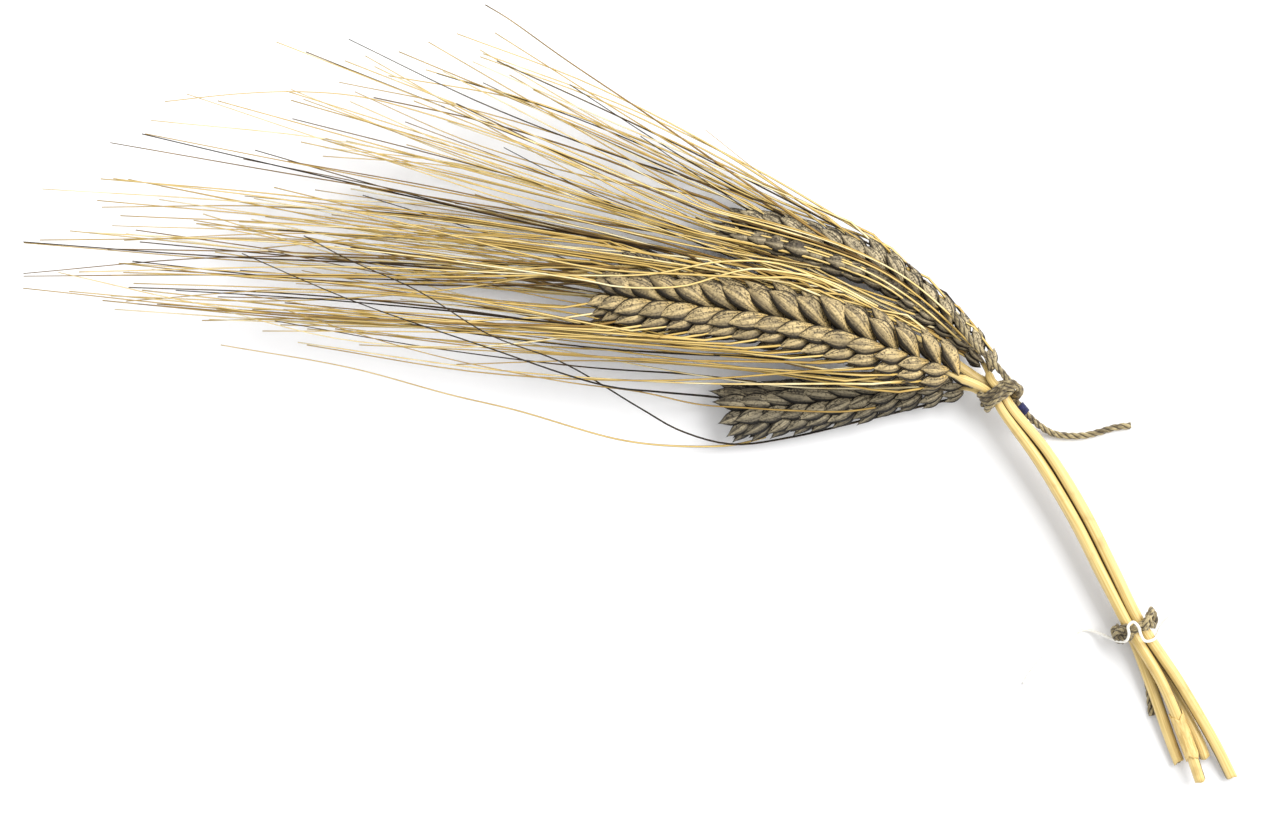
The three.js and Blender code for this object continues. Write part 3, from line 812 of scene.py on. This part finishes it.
def leaf_sheath(points):
    """A sleeve whose ends are torn: each lengthwise line starts and stops at its own place."""
    path = curve_through(points, 800)
    spacing = length_of(path) / (len(path) - 1)
    directions, turn = outward(path, SHEATH_SIDES)
    torn_low = SHEATH_FROM + MM * (0.9 * np.abs(np.sin(1.5 * turn)) + 0.25 * np.sin(7 * turn))
    torn_high = SHEATH_TO - MM * (1.6 * np.abs(np.sin(turn)) + 0.3 * np.sin(5 * turn))
    share = np.linspace(0, 1, SHEATH_RINGS)[:, None]
    run = torn_low + (torn_high - torn_low) * share
    place = np.clip((run / spacing).astype(int), 1, len(path) - 2)
    around = directions[place, np.arange(SHEATH_SIDES)]
    wave = 1 + 0.03 * np.cos(11 * turn)
    outer = path[place] + around * ((SHEATH_BORE + SHEATH_WALL) * wave)[None, :, None]
    inner = path[place] + around * SHEATH_BORE
    return skin(np.concatenate([outer, inner[::-1]]))


build("torn_leaf_sheath", [leaf_sheath(EARS["front"]["points"])], [LEAF], ["leaf_sheath"])

# %% [markdown]
# ## The two ties
# Each tie is the same jute twine, wound round the bundle and knotted at one side. A turn
# is a circle round the bundle's middle, square to it. A knot could be one long route, but
# short loops of twine that cross over the turns look the same and are easier to place. All
# of it uses the twine skin from before.

# %% Turns round the bundle
TURN_STEPS = 24  # places in one turn


def tie_axes(number):
    """The middle of a tie, and the level directions along the bundle and across it."""
    ahead = unit(unit(np.gradient(BUNDLE, axis=0))[number] * (1, 1, 0))
    return BUNDLE[number], ahead, np.cross(UP, ahead)


def local_route(number, places):
    """A route given as along, across and up from the tie's middle, in millimetres."""
    centre, ahead, side = tie_axes(number)
    return np.array([centre + MM * (a * ahead + s * side + u * UP) for a, s, u in places])


def wound(number, radius, start, end, slope, begin, turns):
    """Places of twine wound round the bundle, in the tie's own directions.

    Across and up they are the two radii times cos and sin of the angle. Along, they move evenly
    from start to end, and slope times cos leans the turn, so that it crosses at a slant.
    """
    t = np.linspace(0, 1, int(TURN_STEPS * turns) + 1)
    angle = begin + t * turns * 2 * np.pi
    along = start + (end - start) * t + slope * np.cos(angle)
    return local_route(number, np.stack([along, radius[0] * np.cos(angle), radius[1] * np.sin(angle)], -1))


def tie(name, solid, number, turns, loops, stub, stub_hairs, hair_length, hairs):
    """One tie: its turns, the loops of its knot, its short end, and loose hairs on them."""
    along = tie_axes(number)[1]
    routes = [(wound(number, *turn), along) for turn in turns]
    routes += [(local_route(number, loop), UP) for loop in loops]
    patches = [twine(route, reference, phase)[0] for phase, (route, reference) in enumerate(routes)]
    stub_patch, stub_path = twine(stub)
    patches += [stub_patch, *fibres(stub_path, stub_hairs, hair_length)]
    patches += fibres(curve_through(routes[0][0], 120), hairs, 0.9 * MM)
    build(name, patches, [TWINE], [solid])


# %% The upper tie
UPPER, LOWER = 1, len(BUNDLE) - 1  # the points of the bundle's middle that sit in the ties
UPPER_TURNS = [((3.0, 3.0), -1.9, 1.4, 0.25, 2.4, 3.4), ((3.5, 3.8), -0.9, 0.9, -0.9, 3.2, 1.4)]
UPPER_LOOPS = [
    [
        (-0.9, 2.2, 3.2), (-0.4, 3.6, 3.0), (0.9, 4.1, 2.2), (2.0, 3.9, 1.0), (2.2, 3.2, -0.6),
        (1.6, 2.4, -2.2),
    ],
    [
        (2.6, 1.6, -2.4), (2.7, 3.2, -1.0), (2.0, 4.3, 0.9), (0.9, 4.0, 2.6), (0.2, 2.4, 3.5),
        (-0.6, 0.6, 3.7),
    ],
]
UPPER_STUB = MM * np.array([
    (77.6, 2.6, 9.3), (75.4, 5.2, 10.2), (73.1, 7.6, 10.6), (70, 10.6, 10.6),
    (67.6, 14.1, 10.4), (65.9, 16.7, 10),
])
tie("upper_twine_tie", "upper_tie", UPPER, UPPER_TURNS, UPPER_LOOPS, UPPER_STUB, 26, 1.0 * MM, 30)

# %% The lower tie
LOWER_TURNS = [((3.4, 3.3), -0.4, 0.9, 0.4, 2.0, 1.9), ((3.7, 3.5), 1.6, 0.4, -0.3, 3.6, 1.0)]
LOWER_LOOPS = [
    [(-1.4, 4.5, 1.8), (-0.9, 4.0, 3.0), (-0.2, 3.0, 3.8), (0.8, 2.0, 4.0), (1.6, 1.4, 3.8)],
    [
        (1.9, 3.1, 1.4), (0.8, 4.1, 2.4), (-0.4, 4.5, 1.8), (-0.8, 3.6, 2.8), (0.3, 2.9, 4.0),
        (1.6, 3.2, 3.2),
    ],
    [(-1.4, -3.2, 1.6), (-0.9, -4.4, 0.6), (0.6, -4.2, 1.6), (1.6, -2.9, 2.9), (1.4, -1.6, 3.8)],
    [(1.9, -3.6, -0.2), (0.8, -4.6, 0.8), (-0.4, -4.0, 2.2), (-0.2, -2.4, 3.4)],
]
LOWER_STUB = MM * np.array([
    (103.2, -46.9, 0.8), (104.5, -52, 0.8), (106.2, -58.5, 0.75), (107.1, -65.8, 0.75),
])
tie("lower_twine_tie", "lower_tie", LOWER, LOWER_TURNS, LOWER_LOOPS, LOWER_STUB, 12, 0.7 * MM, 24)
print("ties made")

# %% [markdown]
# ## Husks
# A spikelet is a packet of husks. Two stiff glumes close it on either side, and between
# them sit the lemmas, each with an awn at its tip. Every husk is a long boat: narrow at
# the base, widest past the middle, with a keel along its back and a pointed tip. A box with
# Subdivision Surface could be pulled to that shape, but a formula lets every husk have its
# own length, width and lean.


# %% One husk
HUSK_RINGS = 18
HUSK_SIDES = 20
KEEL_ASIDE = 0.3  # how far from the middle of the back the keel runs, as a cosine
KEEL_HEIGHT = 0.22  # as a share of the husk's depth
INNER_DEPTH = 0.45  # depth of the side that faces the axis, as a share of the back's


def husk(foot, pointing, back, length, width, depth, rise, bow, keel_side, tone, widest):
    """A boat-shaped husk from its foot along pointing, its rounded back facing the back direction.

    Its width follows sin(pi s^p)^q, with p chosen so that it is widest at the share given, and
    q grows from 0.7 at the foot to 1.6 at the tip, which makes the tip the more pointed end.
    rise tilts it, so that its tip stands that far out over the next husk's foot, and bow bends
    it sideways. The keel is a low ridge a little to one side, +1 or -1; a highlight is painted
    along it, and shade is painted on the flank past it.
    """
    s = np.linspace(0.015, 0.985, HUSK_RINGS)
    across = np.cross(back, pointing)
    power = np.log(0.5) / np.log(widest)
    fullness = np.sin(np.pi * s**power) ** (0.7 + 0.9 * s)
    middle = foot + np.outer(s * length, pointing)
    lift = rise * np.sin(0.56 * np.pi * s)
    middle = middle + np.outer(lift, back) + np.outer(bow * np.sin(np.pi * s), across)
    turn = np.arange(HUSK_SIDES) * 2 * np.pi / HUSK_SIDES
    ridge = np.exp(-(((np.cos(turn) - KEEL_ASIDE * keel_side) / 0.2) ** 2)) * (np.sin(turn) > 0)
    height = np.where(np.sin(turn) > 0, np.sin(turn) + KEEL_HEIGHT * ridge, INNER_DEPTH * np.sin(turn))
    sideways = (width / 2 * fullness)[:, None] * np.cos(turn)
    upwards = (depth * fullness)[:, None] * height
    rings = middle[:, None] + sideways[..., None] * across + upwards[..., None] * back
    ends = middle[0] - 0.02 * length * pointing, middle[-1] + 0.05 * length * pointing
    patch = skin(rings, *ends, tone)
    # painted shade on the flank past the keel, and below it a painted highlight along the keel
    flank = np.clip((np.cos(turn) * keel_side - 0.34) / 0.12, 0, 1)
    patch["ridge"][:-2] = np.tile(ridge, HUSK_RINGS)
    patch["shade"][:-2] = np.tile(flank, HUSK_RINGS)
    return patch, ends[1]


# %% [markdown]
# ## Awns
# Awns leave their husks along the spikelet, turn forward within a few millimetres and then
# run nearly straight for ten centimetres, each with its own slight bow. They thin to a
# fine point. A hair system could grow them, but each one has to end where its ear's awns
# end. There are so many that each one has only a few dozen faces: four sides, with one edge
# up as the crest.

# %% One awn
AWN_RINGS = 18
AWN_SIDES = 4
AWN_ROOT = 0.27 * MM
AWN_TIP = 0.11 * MM
LOWEST_AWN = 0.4 * MM  # no awn sinks into the table


def awn(points, tone, thickness=1.0, rings=AWN_RINGS):
    """A four-sided needle through the points, with one edge up.

    Its radius falls from the root to the tip by the share left to the power 1.6.
    """
    path = curve_through(points, rings)
    left = np.linspace(1, 0, rings)
    radius = (AWN_TIP + (AWN_ROOT - AWN_TIP) * left**1.6) * thickness
    path[:, 2] = np.maximum(path[:, 2], LOWEST_AWN)
    return tube(path, radius, AWN_SIDES, tone=tone, finish=1)


def free_awn(root, leaving, end, bow, tone):
    """An awn from a husk's tip: it starts inside the husk, turns forward and bows on its way to the end."""
    way = unit(end - root)
    across = unit(np.cross(UP, way))
    turned = root + 1.4 * MM * leaving + 6 * MM * way
    points = [root - 1.5 * MM * leaving, root, root + 1.2 * MM * leaving + 1.6 * MM * way, turned]
    for share in (0.3, 0.65, 1.0):
        points.append(turned + (end - turned) * share + across * bow * np.sin(np.pi * share))
    return awn(points, tone, rng.uniform(0.8, 1.1))


# %% [markdown]
# ## Spikelets on an ear
# Spikelets stand on the two sides of the ear's axis in turn and lean out from it. They
# grow larger from the foot to the middle and shrink again towards the tip. Copies of one
# spikelet would all look alike, so each is worked out anew, with small differences drawn by
# chance from a fixed seed. A frame of three directions travels up the axis, and a small roll
# turns the ear on its own length.


# %% Where a spikelet stands
LAST_AT = 0.88
FOOT_GROWTH = 0.9
TIP_SIZE = 0.72
TIP_GROWTH = 1.6


def station(plan, number, side):
    """The foot, directions and growth of a spikelet; side is -1 for the upper row, +1 for the lower.

    Growth is the smaller of 1 and first_size + foot growth times u, times the smaller of 1 and
    tip size + tip_growth times (1 - u), where u is the share of the ear below the spikelet.
    """
    up_ear = (number + (0.5 if side > 0 else 0)) / plan["spikelets"]
    share = plan["first_at"] + (plan.get("last_at", LAST_AT) - plan["first_at"]) * up_ear
    place = int(share * (len(plan["axis"]) - 1))
    ahead, level, lifted = (v[place] for v in axes_along(plan["axis"]))
    roll = np.radians(plan["roll"])
    across = level * np.cos(roll) + lifted * np.sin(roll)
    near_foot = min(1, plan["first_size"] + FOOT_GROWTH * up_ear)
    near_tip = min(1, TIP_SIZE + plan.get("tip_growth", TIP_GROWTH) * (1 - up_ear))
    return {
        "axis": plan["axis"][place], "ahead": ahead, "out": across * side,
        "face": np.cross(ahead, across), "growth": near_foot * near_tip, "up_ear": up_ear,
    }


# %% Husks of one spikelet
# Seen from the side of the ear that faces up: the lean of each husk from the ear's axis, how far
# out it starts, how high it bulges, its length and its width. Angles in degrees, the rest in mm.
PACKETS = {
    "front_upper": {
        "glume": (33, 18, 0.0, 3.4, 11.0, 4.7), "lemma": (39, 22, 0.7, 2.5, 11.8, 3.8),
        "inner": (46, 27, 1.2, 0.6, 10.2, 2.8), "under": (38, 24, 0.8, -2.4, 8.6, 3.0),
    },
    "front_lower": {
        "glume": (24, 29, -0.6, 3.6, 10.4, 4.3), "lemma": (33, 34, 1.0, 2.3, 9.8, 3.8),
        "inner": (42, 38, 1.4, 0.4, 8.6, 2.8), "under": (30, 26, 1.2, -2.4, 8.4, 3.0),
    },
    "dark_upper": {
        "glume": (18, 7, 0.0, 2.8, 11.6, 3.7), "lemma": (28, 18, 0.8, 1.7, 12.4, 3.3),
        "inner": (34, 26, 1.3, 0.4, 10.8, 2.8), "under": (28, 20, 0.9, -1.9, 9.6, 2.8),
    },
    "dark_lower": {
        "glume": (15, 20, -0.5, 2.8, 9.8, 3.7), "lemma": (22, 32, 0.7, 1.8, 9.4, 3.4),
        "inner": (28, 42, 1.2, 0.4, 8.4, 2.8), "under": (24, 34, 0.8, -1.9, 8.0, 2.8),
    },
    "right_upper": {
        "glume": (22, 17, 0.1, 2.7, 9.6, 3.8), "lemma": (29, 23, 0.8, 1.6, 9.8, 3.2),
        "inner": (28, 21, 1.2, 0.4, 7.8, 2.4), "under": (20, 14, 0.7, -1.9, 7.2, 2.6),
    },
    "right_lower": {
        "glume": (18, 13, 0.0, 2.7, 9.0, 3.8), "lemma": (24, 18, 0.8, 1.6, 9.0, 3.2),
        "inner": (26, 18, 1.1, 0.4, 7.4, 2.4), "under": (20, 14, 0.7, -1.9, 7.0, 2.6),
    },
    "back_upper": {
        "glume": (28, 17, 0.1, 2.6, 9.2, 3.5), "lemma": (35, 23, 0.9, 1.6, 9.4, 3.1),
        "inner": (38, 26, 1.3, 0.4, 8.4, 2.5), "under": (30, 20, 0.8, -1.9, 7.6, 2.7),
    },
    "back_lower": {
        "glume": (16, 10, 0.1, 2.5, 8.4, 3.5), "lemma": (24, 14, 0.9, 1.6, 8.4, 3.0),
        "inner": (30, 16, 1.2, 0.4, 7.2, 2.4), "under": (24, 12, 0.8, -1.9, 7.0, 2.7),
    },
}
TONES = {"glume": (0.55, 1.0), "lemma": (0.3, 1.0), "inner": (0.1, 0.7), "under": (0.1, 0.6)}
# Rows that keep less of their tone. On right_lower and front_upper this is painted shadow: the right ear's
# lower row lies in the front ear's shadow, turned from the lamp, and the awns shade the front upper row.
# The other two rows are duller in colour.
SHADE_AND_DULL_ROWS = {"right_lower": 0.3, "right_upper": 0.85, "back_lower": 0.5, "front_upper": 0.78}
WIDEST = {"glume": 0.55, "lemma": 0.5, "inner": 0.5, "under": 0.5}  # share of the length
DULLER_TIP = 0.35  # how much of their tone the husks lose towards the ear's tip
HUSK_DEPTH = 0.3  # as a share of the husk's width
HUSK_RISE = 0.82  # as a share of how high it bulges
HUSK_BOW = 0.1  # as a share of its width


def spikelet(plan, row, number, side, ends, awned):
    """Two glumes with two lemmas between them, and an awn for each husk named in awned."""
    at = station(plan, number, side)
    patches = []
    for kind, (lean_foot, lean_tip, out, high, length, width) in PACKETS[row].items():
        lean = np.radians(lean_foot + (lean_tip - lean_foot) * at["up_ear"] + rng.normal(0, 2.0))
        back = at["face"] * (1 if high > 0 else -1)
        tilt = rng.normal(0, 0.03)
        pointing = unit(at["ahead"] * np.cos(lean) + at["out"] * np.sin(lean) + at["face"] * tilt)
        back = unit(back - pointing * (back @ pointing))
        keel = np.sign(np.cross(back, pointing) @ at["out"]) * side
        grown = at["growth"] * rng.uniform(0.95, 1.05) * MM
        foot = at["axis"] + at["out"] * out * MM + back * (0.35 + 0.12 * abs(high)) * MM
        tone = rng.uniform(*TONES[kind]) * SHADE_AND_DULL_ROWS.get(row, 1) * (1 - DULLER_TIP * at["up_ear"])
        patch, tip = husk(
            foot, pointing, back, length * grown, width * grown, HUSK_DEPTH * width * grown,
            HUSK_RISE * abs(high) * grown, HUSK_BOW * width * grown * keel * side, keel, tone, WIDEST[kind],
        )
        patches.append(patch)
        if kind in awned:
            patches.append(awn_from(tip, pointing, ends, at["up_ear"]))
    return patches


# %% Where the awns of each row end
ENDS = {
    "front_upper": [(-52, 33, 12), (-86, 35, 12), (-112, 35, 12), (-121, 28, 12)],
    "front_lower": [(-60, 10, 12), (-88, 16, 12), (-113, 19, 12), (-122, 24, 12)],
    "right_upper": [(-30, 74, 7), (-46, 75, 7), (-60, 71, 7), (-72, 66, 7)],
    "right_lower": [(-50, 62, 7), (-66, 62, 7), (-90, 60, 7), (-102, 55, 7)],
    "back_upper": [(-60, 41, 2), (-84, 46, 2), (-108, 50, 2), (-112, 43, 2)],
    "back_lower": [(-60, 34, 2), (-85, 36, 2), (-106, 38, 2), (-114, 34, 2)],
}
ENDS = {row: MM * np.array(places, float) for row, places in ENDS.items()}
END_JITTER = (9, 3.6, 0.8)  # in mm
PALE_SHARE = 0.84  # of all awns; the others are brown or black
INSIDE = 0.6 * MM  # how far inside the design's box every awn ends


def awn_from(tip, pointing, ends, up_ear):
    """The awn of one husk: its end is drawn by chance around the row's ends at the same height."""
    place = np.linspace(0, 1, len(ends))
    end = np.array([np.interp(up_ear, place, ends[:, axis]) for axis in range(3)])
    end = end + rng.normal(0, 1, 3) * END_JITTER * MM
    end = tip + (end - tip) * rng.uniform(0.7, 1.06)
    end = np.clip(end, np.array(cad_low) + INSIDE, np.array(cad_high) - INSIDE)
    tone = rng.uniform(0.5, 1) if rng.random() < PALE_SHARE else rng.uniform(0, 0.35)
    return free_awn(tip, pointing, end, rng.normal(0, 2.2) * MM, tone)

# %% [markdown]
# ## Awns that wander
# A few awns leave the rest and can be told apart: the black ones of the dark ear, a curved
# one at the top, and some that loop over the front ear. Chance would never put them there, so
# each follows a route of its own.

# %% Routes of the wandering awns
# For each: its tone, its thickness and its places in mm.
WANDERERS = {
    "dark_lower": [
        (0.02, 1.0, [
            (66, -0.8, 3.5), (47.1, -5.4, 3.6), (32.9, -8.7, 3.6), (21, -10.1, 3.6), (10.4, -7.3, 5),
            (2.2, -2.7, 8), (-13.5, 6.5, 17), (-28.4, 12.2, 19.5), (-42.7, 21, 20),
            (-56.7, 27.3, 19.5), (-65.9, 32.2, 19),
        ]),
        (0.72, 0.9, [
            (28, -8.6, 3.2), (21.6, -10.2, 3.2), (10.4, -10.5, 3.4), (-1.8, -9.2, 4),
            (-23.3, -3.1, 5), (-36.5, 0, 6), (-56.9, 5.5, 6), (-83.5, 10.2, 6),
        ]),
    ],
    "dark_upper": [
        (0.5, 0.8, [
            (50.2, -2.6, 8.0), (44, -3.4, 9.4), (32.9, -3.2, 9.6), (23, -2.6, 9), (14.5, -2, 8.4),
            (2.2, 0.6, 11), (-13.5, 2.7, 16), (-36.7, 7.3, 18.5), (-55.1, 12.4, 18.5),
            (-70, 17.3, 18),
        ]),
        (0.0, 0.9, [
            (24, -1.4, 5), (17, -0.4, 6), (6, 0.6, 10), (-5.1, 1.9, 15), (-30, 10, 19.5),
            (-55.9, 19, 20), (-78.4, 28.6, 19),
        ]),
        (0.1, 0.8, [(26, 2.6, 6), (12, 4.2, 7), (-8.4, 5.6, 10), (-40, 9.5, 12), (-72, 15, 14)]),
    ],
    "right_upper": [
        (0.34, 1.15, [
            (51.2, 25.5, 7), (38, 33.4, 8), (26.7, 41.2, 9), (18.2, 47.1, 9), (3.5, 57.3, 9),
            (-13.3, 68.6, 9), (-24.9, 76.9, 8), (-29.4, 79.6, 8),
        ]),
        (0.6, 0.6, [(47.1, 31.6, 7), (29.8, 42.9, 8), (15.5, 54.1, 8)]),
        (0.75, 0.9, [
            (30, 31, 8), (4.3, 38.8, 9), (-14, 48, 9), (-40.6, 57.1, 9), (-54.9, 60.8, 9),
            (-67.1, 61.8, 9), (-79.4, 61.4, 9), (-94.7, 59.8, 9),
        ]),
    ],
    "back_upper": [
        (0.95, 1.1, [
            (50.6, 18, 11), (39.8, 23.3, 15), (31.2, 24.9, 18), (24.9, 25.5, 19), (18.4, 24.1, 19),
            (12, 22.2, 19), (5.1, 21.6, 19), (-3.1, 22, 18), (-8.4, 23.1, 17), (-60, 30, 15),
            (-110, 33, 13),
        ]),
        (0.8, 1.1, [
            (47.3, 18.2, 12), (34.5, 23.5, 17), (25.9, 23.7, 19), (13, 24.3, 19), (-8.4, 25.9, 16),
            (-60, 38, 14), (-105, 44, 12),
        ]),
        (0.9, 1.1, [
            (54, 15.5, 11), (43, 21.4, 15), (30, 26.6, 17), (18, 26.9, 18), (5, 24.5, 18),
            (-10, 24.2, 16), (-60, 26, 14), (-112, 25, 12),
        ]),
    ],
    "front_lower_04": [
        (1.0, 0.9, [
            (60, 1.8, 9.5), (55.9, 1.5, 8.6), (44, 1.3, 8.4), (32.2, 1.7, 8.6), (12, 4.3, 10),
            (-8.4, 8, 12), (-36.5, 13.3, 12), (-67, 15.3, 12),
        ]),
    ],
}

# Awns that lie along their own ear: where they start, how far aside, where they end, their tone.
OVERLYING = {
    "right_upper": [
        (0.02, -2.6, (-38, 66, 8), 0.95), (0.07, -0.8, (-44, 60, 8), 0.7), (0.13, 1.0, (-52, 67, 8), 0.9),
        (0.2, -3.0, (-41, 72, 8), 0.6), (0.27, 2.6, (-60, 58, 8), 0.85), (0.34, -1.6, (-66, 70, 8), 0.2),
        (0.42, 0.4, (-70, 62, 8), 0.8), (0.5, 3.0, (-84, 60, 8), 0.65), (0.6, -2.2, (-72, 72, 8), 0.9),
    ],
}


HEIGHTS_ON_EAR = MM * np.array([2.4, 3.5, 3.8, 3.8, 3.6, 3.3])


def wanderers(row):
    """The wandering awns that belong to one row or spikelet."""
    routes = WANDERERS.get(row, [])
    return [awn(MM * np.array(places, float), tone, size, 64) for tone, size, places in routes]


def overlying(plan, start, aside, end, tone):
    """An awn that lies along the top of its ear from the share start, and then leaves it."""
    count = len(HEIGHTS_ON_EAR)
    share = np.linspace(start, 0.97, count)
    place = (share * (len(plan["axis"]) - 1)).astype(int)
    _, level, _ = axes_along(plan["axis"])
    aside = np.linspace(0.6 * aside, aside, count)[:, None] * MM
    on_ear = plan["axis"][place] + level[place] * aside + HEIGHTS_ON_EAR[:, None] * UP
    end = MM * np.array(end, float)
    beyond = [on_ear[-1] + (end - on_ear[-1]) * t for t in (0.12, 0.4, 0.7, 1.0)]
    return awn(np.vstack([on_ear, beyond]), tone, 1.0, 48)


# %% The front ear: one piece for each spikelet
AWNED = ("lemma", "inner", "under")
SIDES = ((-1, "upper"), (1, "lower"))

plan = EARS["front"]
for number in range(plan["spikelets"]):
    awn_count = 3 if number % 3 == 2 or number > 11 else 2
    for side, row in SIDES:
        key, label = f"front_{row}", f"{2 * number + (2 if side > 0 else 1):02d}"
        patches = spikelet(plan, key, number, side, ENDS[key], AWNED[:awn_count])
        if number == plan["spikelets"] - 1:
            patches += spikelet(plan, key, number + 0.75, side, ENDS[key], ("glume", "lemma"))
        patches += wanderers(f"{key}_{label}")
        solid = f"front_spikelet_{label}"
        build(f"{key}_husks_{label}", patches, [GOLDEN_HUSK, AWN], [solid])
print("front ear spikelets:", 2 * plan["spikelets"])

# %% The dark, right and back ears: one piece for each row
ROWS = {
    "dark": (DARK_HUSK, "dark_chaff", ()),
    "right": (PALE_HUSK, "pale_chaff", ("lemma", "inner")),
    "back": (BROWN_HUSK, "brown_chaff", ("lemma", "inner")),
}
for name, (finish, slot, awned) in ROWS.items():
    for side, row in SIDES:
        key, plan = f"{name}_{row}", EARS[name]
        patches = wanderers(key)
        patches += [overlying(plan, *lying) for lying in OVERLYING.get(key, [])]
        for number in range(plan["spikelets"]):
            patches += spikelet(plan, key, number, side, ENDS.get(key), awned[:2 - number % 2])
        build(f"{key}_husks", patches, [finish, AWN], [f"{name}_ear_{row}_row"])
        print(name, row, "row made")

# %% [markdown]
# ## Light and table
# The table is plain white paper. One large soft lamp to the right gives each awn a light
# side and a dark side. A second lamp could fill the shadows, but an even white surround does
# it without a second set of them.

# %% White table
TABLE_REACH = 1.5

corners = [(x * TABLE_REACH, y * TABLE_REACH, 0) for x, y in ((-1, -1), (1, -1), (1, 1), (-1, 1))]
floor_mesh = bpy.data.meshes.new("table_top")
floor_mesh.from_pydata(corners, [], [(0, 1, 2, 3)])
floor = bpy.data.objects.new("table_top", floor_mesh)
bpy.context.scene.collection.objects.link(floor)
paper, _, paper_shader = new_finish("white_paper", 0.9)
paper_shader.inputs["Base Color"].default_value = (0.95, 0.95, 0.955, 1)
paper_shader.inputs["Specular IOR Level"].default_value = 0.1
floor_mesh.materials.append(paper)

# %% The lamp and the surround
LAMP_PLACE = (0.75, 0.45, 0.95)
LAMP_SIZE = 0.9
LAMP_POWER = 18.2
SURROUND_STRENGTH = 0.85

lamp_data = bpy.data.lights.new("key", "AREA")
lamp_data.size = LAMP_SIZE
lamp_data.energy = LAMP_POWER
lamp = bpy.data.objects.new("key", lamp_data)
lamp.location = LAMP_PLACE
lamp.rotation_euler = (-lamp.location).to_track_quat("-Z", "Y").to_euler()
bpy.context.scene.collection.objects.link(lamp)

world = bpy.data.worlds.new("surround")
world.use_nodes = True
background = world.node_tree.nodes["Background"]
background.inputs["Color"].default_value = (1, 1, 1, 1)
background.inputs["Strength"].default_value = SURROUND_STRENGTH
bpy.context.scene.world = world
bpy.context.scene.view_settings.view_transform = "Standard"
